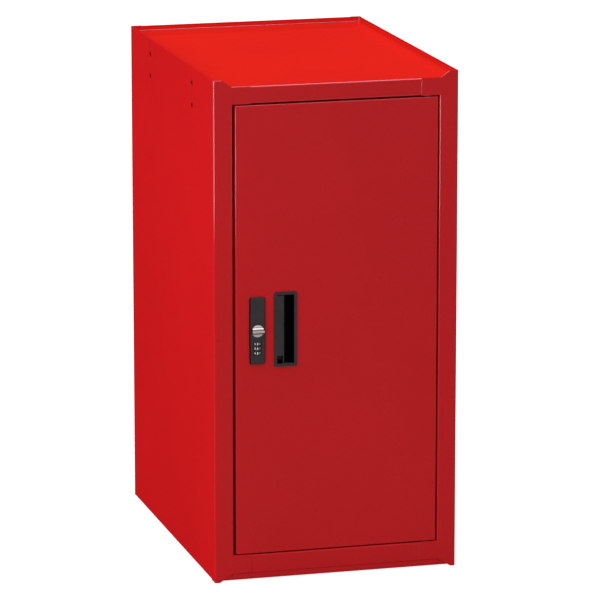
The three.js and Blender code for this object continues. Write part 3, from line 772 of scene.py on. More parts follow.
@dataclass(frozen=True)
class PlatedSteel(Finish):
    """Zinc-plated or cast metal: faint crystal patches and a cloudy lustre."""

    shares: Range = (0.93, 1.05)
    roughness: Range = (0.32, 0.48)
    crystal: float = 2.5 * MM
    haze: Grain = Grain(6 * MM, 4.0)
    grain: Grain = Grain(0.8 * MM)
    depth: float = 0.01 * MM

    def draw(self, sheet: NodeSheet) -> None:
        """Lay the finish out in a material's nodes.

        Args:
            sheet: The material's nodes.
        """
        sheet.fill(sheet.surface, {"Metallic": 1.0})
        relief = sheet.relief(sheet.noise(self.grain), self.depth)
        self.vary(sheet, sheet.cells(self.crystal), sheet.noise(self.haze), relief)


@dataclass(frozen=True)
class SoftPolymer(MouldedPlastic):
    """Nylon, rubber or ink: an even, slightly grained surface."""

    shares: Range = (0.94, 1.04)
    roughness: Range = (0.45, 0.6)
    gloss: float = 0.5
    cloud: Grain = Grain(2 * MM, 3.0)
    haze: Grain = Grain(1.5 * MM)
    grain: Grain = Grain(0.7 * MM)


@dataclass(frozen=True)
class Finishes:
    """Every finish on the locker."""

    red: PowderCoat = PowderCoat("red_powder_coat", Slot.RED_PAINT, RED)
    red_edge: PowderCoat = red_coat("edges", RED, rubbed=(0.44, 0.52), **THICK_PAINT)
    # Painted highlight: the outer corner bends and the lower arms' edges are a shade lighter than RED
    red_corner_painted_highlight: PowderCoat = red_coat(
        "corners", shade(RED, 1.06), rubbed=(0.455, 0.515), worn=0.0, **THICK_PAINT
    )
    # Painted light: the lips' inner faces are lighter, standing in for the light the tray throws on them
    red_lip_painted_light: PowderCoat = red_coat("lips", shade(TRAY_RED_PAINTED_LIGHT, 1.12), gloss=0.0)
    # Painted light: the rear lip is lighter still, standing in for the light the tray throws on it
    red_rear_lip_painted_light: PowderCoat = red_coat("rear_lip", shade(TRAY_RED_PAINTED_LIGHT, 1.4), gloss=0.0)
    # Painted shade: the hem tops are a shade darker than RED
    red_brow_painted_shade: PowderCoat = red_coat("brows", shade(RED, 0.88), gloss=0.0)
    # Painted light: the tray's floor takes the lighter, warmer tray red
    red_tray_painted_light: PowderCoat = red_coat("tray", TRAY_RED_PAINTED_LIGHT, gloss=0.0)
    # The slopes take the tray's painted-light red, a shade darker
    red_slope: PowderCoat = red_coat("slopes", shade(TRAY_RED_PAINTED_LIGHT, 0.98), gloss=0.0)
    black: MouldedPlastic = MouldedPlastic("black_moulding", Slot.BLACK_PLASTIC, (0.0168, 0.0132, 0.0138))
    # Painted shade: a near-black for the pull's pocket and the outer edges of the pull's frame and the bezel
    painted_shade_black: MouldedPlastic = MouldedPlastic(
        "black_moulding_painted_shade",
        Slot.BLACK_PLASTIC,
        (0.002, 0.0015, 0.0015),
        roughness=(0.6, 0.75),
        gloss=0.03,
    )
    # Painted light: the wheels are lighter than the bezel's black, making up for the shade in the windows
    wheel: MouldedPlastic = MouldedPlastic("wheel_moulding", Slot.WHEEL_BLACK, (0.034, 0.031, 0.031))
    nickel: TurnedMetal = TurnedMetal(
        "nickel_plating",
        Slot.SATIN_NICKEL,
        (0.40, 0.385, 0.373),
        axis=tuple(middle_of("lock_knob")),
    )
    zinc: PlatedSteel = PlatedSteel("zinc_plating", Slot.ZINC_PLATE, (0.60, 0.615, 0.63))
    nylon: SoftPolymer = SoftPolymer("black_nylon", Slot.NYLON, (0.012, 0.012, 0.012))
    rubber: SoftPolymer = SoftPolymer(
        "black_rubber",
        Slot.RUBBER,
        (0.012, 0.012, 0.012),
        roughness=(0.75, 0.9),
    )
    ink: SoftPolymer = SoftPolymer("white_ink", Slot.WHEEL_BLACK, (0.9, 0.9, 0.88))


# Sub-assemblies

@dataclass
class SubAssembly:
    """Pieces that are built and dressed together."""

    finishes: Finishes
    pieces: list[bpy.types.Object] = field(default_factory=list, init=False)
    paint_edge: float = 0.42 * MM

    def hand_over(
        self,
        obj: bpy.types.Object,
        name: str,
        body: Body,
        finish: Finish,
        nodes: Iterable[str] = (),
    ) -> None:
        """Name a finished piece, dress it and put it on its body.

        Args:
            obj: The finished mesh object.
            name: The piece's name.
            body: The body it rides on.
            finish: Its finish.
            nodes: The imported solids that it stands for.
        """
        obj.name = name
        obj.data.name = name
        obj.data.materials.clear()
        obj.data.materials.append(finish.material())
        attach(obj, body.value)
        if nodes:
            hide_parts(*nodes)
        self.pieces.append(obj)

    def refine(self, nodes: Iterable[str], body: Body, finish: Finish, radius: float) -> None:
        """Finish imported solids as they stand, with rounded edges.

        Args:
            nodes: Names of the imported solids.
            body: The body that they ride on.
            finish: Their finish.
            radius: Rounding of their edges.
        """
        for node in nodes:
            obj = merged(node)
            soften(obj, radius)
            self.hand_over(obj, f"{node}_finished", body, finish, [node])

    def paint(self, nodes: Iterable[str], body: Body) -> None:
        """Finish packed sheets in red paint, which is glossier round their bends and edges.

        Args:
            nodes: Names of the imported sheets.
            body: The body that they ride on.
        """
        for node in nodes:
            sheet = merged(node)
            self.close_seams(sheet, node)
            soften(sheet, self.paint_edge, steps=3)
            self.hand_over(sheet, f"{node}_finished", body, self.finishes.red, [node])
            self.gloss_edges(sheet)

    def close_seams(self, sheet: bpy.types.Object, node: str) -> None:
        """Draw a sheet's edges up to its neighbours where paint fills the seam. Most sheets have none."""

    def gloss_edges(self, sheet: bpy.types.Object) -> None:
        """Give the outer bends and the cut edges of a sheet a glossier coat than its flats.

        Args:
            sheet: The sheet in red paint.
        """
        sheet.data.materials.append(self.finishes.red_edge.material())
        mesh = bmesh.new()
        mesh.from_mesh(sheet.data)
        for face, polygon in zip(mesh.faces, sheet.data.polygons):
            bent = max(abs(part) for part in face.normal) < FLAT_ENOUGH
            bulge = sum(edge.calc_length() * edge.calc_face_angle_signed(0.0) for edge in face.edges)
            outer = bent and bulge > 0 and face.normal.y < -SLIGHTLY
            polygon.material_index = Coat.EDGES if outer else Coat.FLATS
        mesh.free()

    def darken(self, moulding: bpy.types.Object, test: Callable[[bpy.types.MeshPolygon], bool]) -> None:
        """Paint shade on the faces of a black moulding that pass a test, in a near-black that stands in for
        the shade there.

        Args:
            moulding: The dressed moulding.
            test: Says by a face's place or normal whether it gets painted shade.
        """
        moulding.data.materials.append(self.finishes.painted_shade_black.material())
        for face in moulding.data.polygons:
            face.material_index = int(test(face))

    def build(self) -> None:
        """Make the pieces."""
        raise NotImplementedError


@dataclass
class CabinetShell(SubAssembly):
    """Folded and painted sheets of the cabinet."""

    seam: float = 0.3 * MM
    hem_drop: float = 6.6 * MM
    tip_flat: float = 12 * MM
    corner_run: float = 24 * MM
    corner_bend: float = 3 * MM
    rail_top: float = 661 * MM
    opening_top: float = 638 * MM
    opening_bottom: float = 36 * MM
    tray_floor: float = 657 * MM
    tray_side: float = 162.3 * MM
    tray_rear: float = 230.9 * MM
    tray_start: float = 12 * MM
    slope_run: float = 10.5 * MM
    slope_rise: float = 6.6 * MM
    brow: float = 1.8 * MM
    bead: float = 0.6 * MM
    rear_bead: float = 0.9 * MM
    bead_angle: float = 40.0
    seam_lean: float = 2.5 * MM
    seam_drop: float = 10 * MM
    toe_emboss: float = 0.8 * MM
    toe_line: float = 0.35 * MM
    sheets: tuple[str, ...] = ("left_side_panel", "right_side_panel", "back_panel", "top_pan")
    low: Vector = field(init=False)
    high: Vector = field(init=False)
    rail_bottom: float = field(init=False)

    def __post_init__(self) -> None:
        """Take the left panel's corners and the bottom rail's lower edge from the imported model."""
        self.low, self.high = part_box("left_side_panel")
        self.rail_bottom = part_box("floor_pan")[0].z

    def build(self) -> None:
        """Make the sheets, the thick paint on their edges and the slopes of the tray."""
        self.paint(self.sheets, Body.CABINET)
        self.refine(["floor_pan"], Body.CABINET, self.finishes.red, self.paint_edge)
        self.hand_over(self.toe(), "toe_strip_finished", Body.CABINET, self.finishes.red, ["toe_strip"])
        self.hand_over(self.beads(), "front_edge_paint", Body.CABINET, self.finishes.red_edge)
        self.hand_over(self.slopes(), "tray_slopes", Body.CABINET, self.finishes.red_slope)

    def toe(self) -> bpy.types.Object:
        """Model the toe strip, embossed below the bottom rail so that only a thin line is left between them.

        Returns:
            The strip.
        """
        strip = merged("toe_strip")
        head = self.rail_bottom - self.toe_line
        reach = -self.low.x - self.corner_run - self.toe_line

        def shown(face: bmesh.types.BMFace) -> bool:
            """Say whether a face of the strip shows below the rail, between the feet."""
            middle = face.calc_center_median()
            return face.normal.y < -FLAT_ENOUGH and middle.z < head and abs(middle.x) < reach

        cuts = (((0, 0, head), (0, 0, 1)), ((-reach, 0, 0), (1, 0, 0)), ((reach, 0, 0), (1, 0, 0)))
        with editing(strip):
            for place, across in cuts:
                pick_all()
                bpy.ops.mesh.bisect(plane_co=place, plane_no=across)
            pick(strip, Element.FACE, shown)
            push(-self.toe_emboss)
        soften(strip, self.paint_edge)
        return strip

    def slopes(self) -> bpy.types.Object:
        """Model the slopes by which the tray's floor runs up to its sides and its rear.

        Returns:
            The three slopes as one mesh.
        """
        front = self.low.y + self.tray_start
        foot, head = self.tray_floor, self.tray_floor + self.slope_rise
        side, rear = self.tray_side, self.tray_rear
        low, high = Vector((-side, rear - self.slope_run, foot)), Vector((side, rear, head))
        slopes = self.slope(low, high, Vector((0, 1, 0)))
        for hand in (-1, 1):
            across = sorted((hand * side, hand * (side - self.slope_run)))
            low, high = Vector((across[0], front, foot)), Vector((across[1], rear, head))
            work_in(slopes, self.slope(low, high, Vector((hand, 0, 0))), Join.WELD)
        return slopes

    def slope(self, low: Vector, high: Vector, outward: Vector) -> bpy.types.Object:
        """Model one slope: a block whose inner upper edge is let down to the floor.

        Args:
            low: Lowest corner of the block.
            high: Highest corner of the block.
            outward: The way in which it rises.

        Returns:
            The slope.
        """
        block = box_tool(low, high)
        middle = (low + high) / 2
        with editing(block):
            pick(block, Element.VERTEX, lambda v: v.co.z > middle.z and (v.co - middle).dot(outward) < 0)
            bpy.ops.transform.translate(value=(0, 0, low.z - high.z))
            pick_all()
            bpy.ops.mesh.remove_doubles(threshold=HAIR)
        return block

    def gloss_edges(self, sheet: bpy.types.Object) -> None:
        """Give outer bends a glossier coat, what faces into the tray a lighter one as painted light, and the
        brows a darker one as painted shade.

        The coat of the outer corners and of the lower arms is a shade lighter as a painted highlight, and
        dull low down. The tray's floor is painted light too. The coats follow Coat's order.

        Args:
            sheet: The sheet in red paint.
        """
        super().gloss_edges(sheet)
        coats = self.finishes
        for coat in (coats.red_lip_painted_light, coats.red_brow_painted_shade, coats.red_corner_painted_highlight, coats.red_tray_painted_light, coats.red_rear_lip_painted_light):
            sheet.data.materials.append(coat.material())
        for face in sheet.data.polygons:
            inward = face.normal.x * face.center.x + face.normal.y * face.center.y < 0
            behind = face.center.y > self.low.y + self.tray_start
            cornered = abs(face.center.x) > -self.low.x - self.corner_bend
            low_down = face.center.z < self.opening_bottom + self.bead
            # Painted highlight: outer corner bends and the lower arms' edges take the lighter corner coat
            if face.material_index == Coat.EDGES and (cornered or low_down):
                face.material_index = Coat.CORNERS
            on_top = face.center.z > self.high.z - self.brow and face.normal.z > SLIGHTLY
            at_floor = abs(face.center.z - self.tray_floor) < self.brow and face.normal.z > FLAT_ENOUGH
            # Painted shade on the hem tops; painted light on faces that look into the tray and on the tray's
            # floor
            if behind and on_top:
                face.material_index = Coat.BROWS
            elif inward and abs(face.normal.z) < MOSTLY and face.center.z > self.tray_floor:
                face.material_index = Coat.REAR_LIP if face.normal.y < -MOSTLY else Coat.LIPS
            elif behind and at_floor:
                face.material_index = Coat.TRAY

    def beads(self) -> bpy.types.Object:
        """Model the paint that gathers on the front's cut edges and seams, and at the rear of the tray.

        Returns:
            All the beads as one mesh.
        """
        front = self.low.y + self.bead / 2
        side, end = -self.low.x, -self.high.x
        top, rail = self.high.z - self.bead - HAIR, self.rail_top - self.bead / 2
        tip = Vector((self.corner_run - self.tip_flat, 0, self.high.z - self.rail_top))
        lean = tip.normalized() * self.bead

        def at(x: float, z: float) -> Vector:
            """A point on the front, by its place across and its height."""
            return Vector((x, front, z))

        tip_foot = at(side - self.corner_run + lean.z / 2, self.rail_top - lean.x / 2)
        ledge_y, ledge_z = self.tray_rear + self.rear_bead / 2, self.tray_floor + self.slope_rise
        ledge = [Vector((hand * self.tray_side, ledge_y, ledge_z)) for hand in (-1, 1)]
        corner = Vector((self.tray_side, self.tray_rear, top))
        corner_foot = corner - Vector((self.seam_lean, self.seam_lean, self.seam_drop))
        runs = (
            (at(-side + self.corner_run, rail), at(-end, rail), self.bead),
            (at(-side + 2 * self.bead, top), at(-side + self.tip_flat, top), self.bead),
            (tip_foot, at(side - self.tip_flat + lean.z / 2, top), self.bead),
            (at(end, self.opening_top + self.bead), at(end, rail), self.bead),
            (at(end, self.rail_bottom), at(end, self.opening_bottom - self.bead), self.bead),
            (*ledge, self.rear_bead),
            (corner_foot, corner, self.rear_bead),
        )
        beads = joined([rod_between(*run) for run in runs])
        bpy.ops.object.shade_smooth_by_angle(angle=math.radians(self.bead_angle))
        return beads

    def close_seams(self, sheet: bpy.types.Object, node: str) -> None:
        """Draw the hems down to the tray, and the arms up to the rails, with a groove at the lower left.

        Args:
            sheet: The sheet before its edges are rounded.
            node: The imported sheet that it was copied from.
        """
        if node == "top_pan":
            return
        low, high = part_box(node)
        with editing(sheet):
            hem_foot = high.z - self.hem_drop
            pick(sheet, Element.VERTEX, lambda v: abs(v.co.z - hem_foot) < HAIR)
            bpy.ops.transform.translate(value=(0, 0, -self.seam))
            if node == "back_panel":
                return
            hand = 1 if low.x > 0 else -1
            arm_end = low.x if hand > 0 else high.x
            under = self.opening_top - HAIR
            behind = low.y + HAIR
            pick(
                sheet,
                Element.VERTEX,
                lambda v: abs(v.co.x - arm_end) < HAIR and (hand > 0 or v.co.z > under or v.co.y > behind),
            )
            bpy.ops.transform.translate(value=(-hand * self.seam, 0, 0))


@dataclass
class Shelving(SubAssembly):
    """Slotted pilasters, clips and shelves."""

    plated_edge: float = 0.15 * MM
    places: tuple[str, ...] = ("front_left", "rear_left", "front_right", "rear_right")
    levels: tuple[str, ...] = ("lower", "upper")

    def build(self) -> None:
        """Make the pilasters, the clips and the shelves."""
        posts = [f"pilaster_{place}" for place in self.places]
        clips = [f"{level}_shelf_clip_{place}" for level in self.levels for place in self.places]
        shelves = [f"{level}_shelf" for level in self.levels]
        self.refine(posts + clips, Body.CABINET, self.finishes.zinc, self.plated_edge)
        self.paint(shelves, Body.CABINET)


@dataclass
class DoorLeaf(SubAssembly):
    """Door pan, its stiffener, and what it turns and shuts on."""

    small_edge: float = 0.2 * MM
    levels: tuple[str, ...] = ("lower", "upper")

    def build(self) -> None:
        """Make the door and its pivots."""
        self.paint(["door_skin", "door_stiffener"], Body.DOOR)
        for kind, body, finish in (
            ("pivot_bush", Body.DOOR, self.finishes.nylon),
            ("pivot_pin", Body.CABINET, self.finishes.zinc),
            ("door_buffer", Body.CABINET, self.finishes.rubber),
        ):
            self.refine([f"{level}_{kind}" for level in self.levels], body, finish, self.small_edge)


@dataclass
class FlushPull(SubAssembly):
    """Moulded tub with a frame round it, and a turned-in grip down its left side."""

    node: str = "flush_pull"
    corner: float = 3 * MM
    frame_width: float = 4 * MM
    skirt: float = 0.9 * MM
    wall: float = 0.8 * MM
    draft: float = 0.96
    grip_width: float = 10 * MM
    grip_recess: float = 0.3 * MM
    grip_thickness: float = 1.6 * MM
    grip_turn: float = 6 * MM
    grip_nose: float = 1.2 * MM
    nose_steps: int = 5
    grip_top_gap: float = 1.2 * MM
    notch_height: float = 10.6 * MM
    notch_web: float = 1.6 * MM
    snap_width: float = 10 * MM
    snap_from_front: float = 2.5 * MM
    snap_length: float = 5 * MM
    snap_crest: float = 1.3 * MM
    rounding: float = 0.4 * MM
    rounding_angle: float = 35.0
    painted_shade_depth: float = 2.2 * MM
    low: Vector = field(init=False)
    high: Vector = field(init=False)
    grip_edge: float = field(init=False)

    def __post_init__(self) -> None:
        """Take the pull's corners from the imported model, and work out where the grip's right edge lies."""
        self.low, self.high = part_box(self.node)
        self.grip_edge = self.low.x + self.frame_width + self.grip_width

    def build(self) -> None:
        """Make the pull."""
        pull = self.tub()
        work_in(pull, self.grip(), Join.WELD)
        for edge, up in ((self.low.z, -1), (self.high.z, 1)):
            work_in(pull, self.snap(edge, up), Join.WELD)
        with editing(pull):
            pick_all()
            bpy.ops.mesh.bisect(plane_co=(self.grip_edge, 0, 0), plane_no=(1, 0, 0))
        soften(pull, self.rounding, steps=3, angle=self.rounding_angle)
        self.hand_over(pull, "flush_pull_moulding", Body.DOOR, self.finishes.black, [self.node])
        # Painted shade: the pocket and the frame's left and upper outer edges take the near-black coat
        self.darken(pull, self.in_shade)

    def in_shade(self, face: bpy.types.MeshPolygon) -> bool:
        """Say whether a face gets painted shade: whether it lies in the open pocket, or on the left or upper
        outer edge of the frame.

        Args:
            face: The face.

        Returns:
            Whether it does.
        """
        from_middle = face.center - (self.low + self.high) / 2
        outward = face.normal.x * from_middle.x + face.normal.z * from_middle.z > 0
        behind_grip = face.center.x < self.grip_edge and face.normal.y < -MOSTLY
        deep = face.center.y > self.low.y + self.painted_shade_depth and not behind_grip
        left = face.center.x < self.low.x + self.rounding and face.normal.x < -PARTLY
        top = face.center.z > self.high.z - self.rounding and face.normal.z > PARTLY
        return (deep and not outward and face.normal.y < MOSTLY) or left or top

    def tub(self) -> bpy.types.Object:
        """Model the frame and the tub: a slab and a drafted block, with a drafted pocket sunk into both.

        Returns:
            The tub with its frame.
        """
        tub = round_plate(self.low + Vector((0, self.skirt, 0)), self.high, self.corner)
        with editing(tub):
            pick_all()
            push(-self.skirt)
            pick_all()
            bpy.ops.mesh.normals_make_consistent(inside=False)
        work_in(tub, self.drafted(self.frame_width - self.wall, self.skirt / 2, 0.0), Join.WELD)
        work_in(tub, self.drafted(self.frame_width, -self.skirt, self.wall), Join.CUT)
        return tub

    def drafted(self, inset: float, start: float, short: float) -> bpy.types.Object:
        """Model a block that narrows towards the back.

        Args:
            inset: How far it stays inside the frame's outline.
            start: How far behind the frame's face it starts.
            short: How far it stops before the back of the pull.

        Returns:
            The block.
        """
        front = self.low + Vector((inset, start, inset))
        rear = self.high - Vector((inset, short, inset))
        block = box_tool(front, rear)
        with editing(block):
            pick(block, Element.FACE, lambda face: face.normal.y > FLAT_ENOUGH)
            bpy.ops.transform.resize(value=(self.draft, 1, self.draft), center_override=(front + rear) / 2)
        return block

    def grip(self) -> bpy.types.Object:
        """Model the grip: it covers the left of the pocket, turns in at its edge and is notched at its foot.

        Returns:
            The grip, a little way into the tub's left and lower walls.
        """
        inset = Vector((self.frame_width, 0, self.frame_width))
        pocket_low, pocket_high = self.low + inset, self.high - inset
        front = self.low.y + self.grip_recess
        start = Vector((pocket_low.x - self.wall / 2, front, pocket_low.z - self.wall / 2))
        grip = plate(start, Vector((self.grip_edge, front, pocket_high.z - self.grip_top_gap)))

        def at_edge(edge: bmesh.types.BMEdge) -> bool:
            """Say whether an edge lies along the right edge of the grip."""
            return all(v.co.x > self.grip_edge - HAIR for v in edge.verts)

        def at_nose(edge: bmesh.types.BMEdge) -> bool:
            """Say whether an edge is the one that the grip turns in at."""
            return at_edge(edge) and all(v.co.y < front + HAIR for v in edge.verts)

        with editing(grip):
            pick(grip, Element.EDGE, at_edge)
            push(self.grip_turn)
            pick(grip, Element.EDGE, at_nose)
            bpy.ops.mesh.bevel(offset=self.grip_nose, segments=self.nose_steps)
        modify(grip, "SOLIDIFY", thickness=self.grip_thickness, offset=-1, use_even_offset=True)
        beyond = Vector((self.wall, self.grip_turn, self.wall))
        notch_end = Vector((self.grip_edge - self.notch_web, front, pocket_low.z + self.notch_height))
        work_in(grip, box_tool(start - beyond, notch_end + Vector((0, self.grip_turn, 0))), Join.CUT)
        return grip

    def snap(self, edge: float, up: int) -> bpy.types.Object:
        """Model a wedge that holds the pull behind the door's skin.

        Args:
            edge: Height of the frame's edge next to the wedge.
            up: 1 for the upper wedge and -1 for the lower one.

        Returns:
            The wedge, a little way into the tub's wall.
        """
        middle = (self.low.x + self.high.x) / 2
        front = self.low.y + self.snap_from_front
        root, crest = edge - up * self.frame_width, edge - up * self.snap_crest
        corner = Vector((middle - self.snap_width / 2, front, min(root, crest)))
        far = Vector((middle + self.snap_width / 2, front + self.snap_length, max(root, crest)))
        wedge = box_tool(corner, far)
        with editing(wedge):
            pick(wedge, Element.VERTEX, lambda v: v.co.y > front + HAIR and abs(v.co.z - crest) < HAIR)
            bpy.ops.transform.translate(value=(0, 0, -up * (abs(crest - root) - self.wall)))
        return wedge


@dataclass
class CombinationLock(SubAssembly):
    """Moulded bezel, knob with its spindle and cam, and the cast body behind the door."""

    bezel_corner: float = 3 * MM
    bezel_edge: float = 1.6 * MM
    bezel_steps: int = 4
    bezel_bow: float = 0.4 * MM
    bow_cuts: int = 7
    knob_seat: float = 8.5 * MM
    cutter_length: float = 54 * MM
    knob_base: float = 3.4 * MM
    knob_bar: float = 3.2 * MM
    knob_scoop: float = 6.5 * MM
    knob_facets: int = 96
    knob_rounding: float = 0.5 * MM
    knob_angle: float = 30.0
    window_width: float = 11.4 * MM
    window_front: float = 10.2 * MM
    window_height: float = 5.2 * MM
    rim: float = 0.25 * MM
    rim_angle: float = 40.0
    cast_edge: float = 0.3 * MM
    cross_width: float = 0.9 * MM
    cross_depth: float = 1.2 * MM
    cross_share: float = 0.62

    def build(self) -> None:
        """Make the pieces of the lock."""
        zinc = self.finishes.zinc
        self.build_bezel()
        self.build_knob()
        self.refine(["lock_body", "wheel_axle"], Body.DOOR, zinc, self.cast_edge)
        self.refine(["lock_spindle", "lock_cam"], Body.KNOB, zinc, self.cast_edge)
        for node, body in (
            ("lower_lock_screw", Body.DOOR),
            ("upper_lock_screw", Body.DOOR),
            ("cam_screw", Body.KNOB),
        ):
            self.hand_over(self.screw(node), f"{node}_finished", body, zinc, [node])

    def build_bezel(self) -> None:
        """Model the bezel: a plate with bowed sides, a seat for the knob and three windows."""
        low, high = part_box("lock_bezel")
        inset = Vector((self.bezel_bow, 0, 0))
        rear = Vector((low.x, high.y, low.z))
        bezel = round_plate(rear + inset, high - inset, self.bezel_corner)
        self.bow_sides(bezel, (low + high) / 2, high)
        with editing(bezel):
            pick_all()
            push(low.y - high.y)
            pick(bezel, Element.EDGE, lambda edge: all(v.co.y < low.y + HAIR for v in edge.verts))
            bpy.ops.mesh.bevel(offset=self.bezel_edge, segments=self.bezel_steps)
            pick_all()
            bpy.ops.mesh.normals_make_consistent(inside=False)
        work_in(bezel, round_tool(middle_of("lock_knob"), self.knob_seat, self.cutter_length), Join.CUT)
        for wheel in ("number_wheel_1", "number_wheel_2", "number_wheel_3"):
            work_in(bezel, self.window(middle_of(wheel), low.y, high.y), Join.CUT)
        soften(bezel, self.rim, angle=self.rim_angle)
        self.hand_over(bezel, "lock_bezel_moulding", Body.DOOR, self.finishes.black, ["lock_bezel"])
        # Painted shade: the bezel's bowed upright sides take the near-black coat
        centre_x = (low.x + high.x) / 2
        side = high.x - centre_x - self.bezel_edge - self.bezel_bow
        self.darken(bezel, lambda face: abs(face.center.x - centre_x) > side and abs(face.normal.x) > PARTLY)

    def window(self, middle: Vector, front: float, rear: float) -> bpy.types.Object:
        """Model the cutter of one number window, which narrows towards the front.

        Args:
            middle: The middle of the number wheel behind the window.
            front: Where the bezel's front face lies.
            rear: Where the bezel's rear face lies.

        Returns:
            The cutter.
        """
        half_width, half_height = self.window_width / 2, self.window_height / 2
        start = Vector((middle.x - half_width, front - self.rim, middle.z - half_height))
        end = Vector((middle.x + half_width, rear + self.rim, middle.z + half_height))
        cutter = box_tool(start, end)
        with editing(cutter):
            pick(cutter, Element.FACE, lambda face: face.normal.y < -FLAT_ENOUGH)
            narrow = self.window_front / self.window_width
            bpy.ops.transform.resize(value=(narrow, 1, 1), center_override=middle)
        return cutter

    def bow_sides(self, blank: bpy.types.Object, middle: Vector, high: Vector) -> None:
        """Bow the upright sides of the bezel's blank outwards, most at mid height.

        Args:
            blank: The blank, one face.
            middle: The blank's middle.
            high: The blank's highest corner, at the full bow.
        """
        half_width = high.x - middle.x - self.bezel_bow
        half_height = high.z - middle.z - self.bezel_corner
        with editing(blank):
            pick(blank, Element.EDGE, lambda edge: edge.calc_length() > half_height)
            bpy.ops.mesh.subdivide(number_cuts=self.bow_cuts)
            for cut in range(1, self.bow_cuts + 1):
                share = 2 * cut / (self.bow_cuts + 1) - 1
                level = middle.z + share * half_height
                pick(blank, Element.VERTEX, lambda v: abs(v.co.z - level) < HAIR)
                grow = 1 + self.bezel_bow * (1 - share**2) / half_width
                bpy.ops.transform.resize(value=(grow, 1, 1), center_override=middle)

    def build_knob(self) -> None:
        """Model the knob: a disc with a scoop above and below, which leave a bar across its face."""
        low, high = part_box("lock_knob")
        middle = (low + high) / 2
        radius = (high.x - low.x) / 2
        knob = round_tool(middle, radius, high.y - low.y, facets=self.knob_facets)
        depth = high.y - self.knob_base - self.knob_scoop
        spread = self.knob_bar / 2 + math.sqrt(self.knob_scoop**2 - (low.y - depth) ** 2)
        for side in (-1, 1):
            centre = Vector((middle.x, depth, middle.z + side * spread))
            scoop = round_tool(centre, self.knob_scoop, self.cutter_length, Along.X.value, self.knob_facets)
            work_in(knob, scoop, Join.CUT)
        soften(knob, self.knob_rounding, steps=3, angle=self.knob_angle)
        self.hand_over(knob, "lock_knob_casting", Body.KNOB, self.finishes.nickel, ["lock_knob"])

    def screw(self, node: str) -> bpy.types.Object:
        """Model a pan-head screw with a cross recess in its head, which faces the back.

        Args:
            node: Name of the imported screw.

        Returns:
            The screw.
        """
        screw = merged(node)
        low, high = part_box(node)
        middle = (low + high) / 2
        arm = self.cross_share * (high.x - low.x) / 2
        for half_x, half_z in ((arm, self.cross_width / 2), (self.cross_width / 2, arm)):
            start = Vector((middle.x - half_x, high.y - self.cross_depth, middle.z - half_z))
            end = Vector((middle.x + half_x, high.y + self.cross_depth, middle.z + half_z))
            work_in(screw, box_tool(start, end), Join.CUT)
        soften(screw, self.cast_edge / 2)
        return screw


@dataclass
class NumberWheels(SubAssembly):
    """Three wheels of ten flats, each flat with its number."""

    flats: int = 10
    notch: float = 0.55 * MM
    notch_steps: int = 4
    notch_profile: float = 0.15
    rim: float = 0.25 * MM
    rim_angle: float = 40.0
    bore: float = 1.3 * MM
    flat_distance: float = 5.796 * MM
    figure_height: float = 3.6 * MM
    figure_narrow: float = 0.7
    figure_bold: float = 0.26 * MM
    figure_depth: float = 0.03 * MM
    showing: tuple[int, ...] = (5, 6, 5)

    def build(self) -> None:
        """Make the wheels and their numbers."""
        bodies = (Body.WHEEL_1, Body.WHEEL_2, Body.WHEEL_3)
        for index, (body, first) in enumerate(zip(bodies, self.showing), start=1):
            node = f"number_wheel_{index}"
            low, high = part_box(node)
            wheel = self.wheel(middle_of(node), high.z - low.z)
            self.hand_over(wheel, f"{node}_moulding", body, self.finishes.wheel, [node])
            figures = self.figures(middle_of(node), first)
            self.hand_over(figures, f"{node}_figures", body, self.finishes.ink)

    def wheel(self, centre: Vector, thickness: float) -> bpy.types.Object:
        """Model a wheel with a finger notch between each two flats and a bore for the axle.

        Args:
            centre: The wheel's middle.
            thickness: Its thickness.

        Returns:
            The wheel.
        """
        half_flat = math.pi / self.flats
        radius = self.flat_distance / math.cos(half_flat)
        wheel = round_tool(centre, radius, thickness, (0, 0, half_flat), self.flats)
        with editing(wheel):
            pick(wheel, Element.EDGE, lambda e: abs(e.verts[0].co.z - e.verts[1].co.z) > thickness / 2)
            bpy.ops.mesh.bevel(offset=self.notch, segments=self.notch_steps, profile=self.notch_profile)
            pick(wheel, Element.FACE, lambda face: abs(face.normal.z) > FLAT_ENOUGH)
            bpy.ops.mesh.inset(thickness=self.flat_distance - self.bore)
            bpy.ops.mesh.bridge_edge_loops()
        soften(wheel, self.rim, angle=self.rim_angle)
        return wheel

    def figures(self, centre: Vector, first: int) -> bpy.types.Object:
        """Write the wheel's numbers on its flats.

        Args:
            centre: The wheel's middle.
            first: The number that faces the front.

        Returns:
            All ten numbers as one mesh.
        """
        made = []
        for step in range(self.flats):
            turn = step * 2 * math.pi / self.flats
            outward = Vector((math.sin(turn), -math.cos(turn), 0))
            place = centre + outward * self.flat_distance
            figure = add(bpy.ops.object.text_add, location=place, rotation=(RIGHT_ANGLE, 0, turn))
            figure.data.body = str((first + step) % self.flats)
            figure.data.size = self.figure_height
            figure.data.align_x = "CENTER"
            figure.data.align_y = "CENTER"
            figure.data.offset = self.figure_bold
            figure.data.extrude = self.figure_depth
            figure.scale.x = self.figure_narrow
            bpy.ops.object.convert(target="MESH")
            made.append(settle(bpy.context.active_object))
        figures = joined(made)
        with editing(figures):
            pick_all()
            bpy.ops.mesh.remove_doubles(threshold=SAME_POINT)
        return figures


# Studio

@dataclass(frozen=True)
class Softbox:
    """A soft lamp that faces a point of the locker."""

    name: str
    place: tuple[float, float, float]
    aim: tuple[float, float, float]
    size: tuple[float, float]
    power: float

    def hang(self) -> None:
        """Put the lamp in the scene."""
        lamp = bpy.data.lights.new(self.name, "AREA")
        lamp.shape = "RECTANGLE"
        lamp.size, lamp.size_y = self.size
        lamp.energy = self.power
        obj = put(self.name, lamp)
        obj.location = self.place
        obj.rotation_euler = (Vector(self.aim) - obj.location).to_track_quat("-Z", "Y").to_euler()


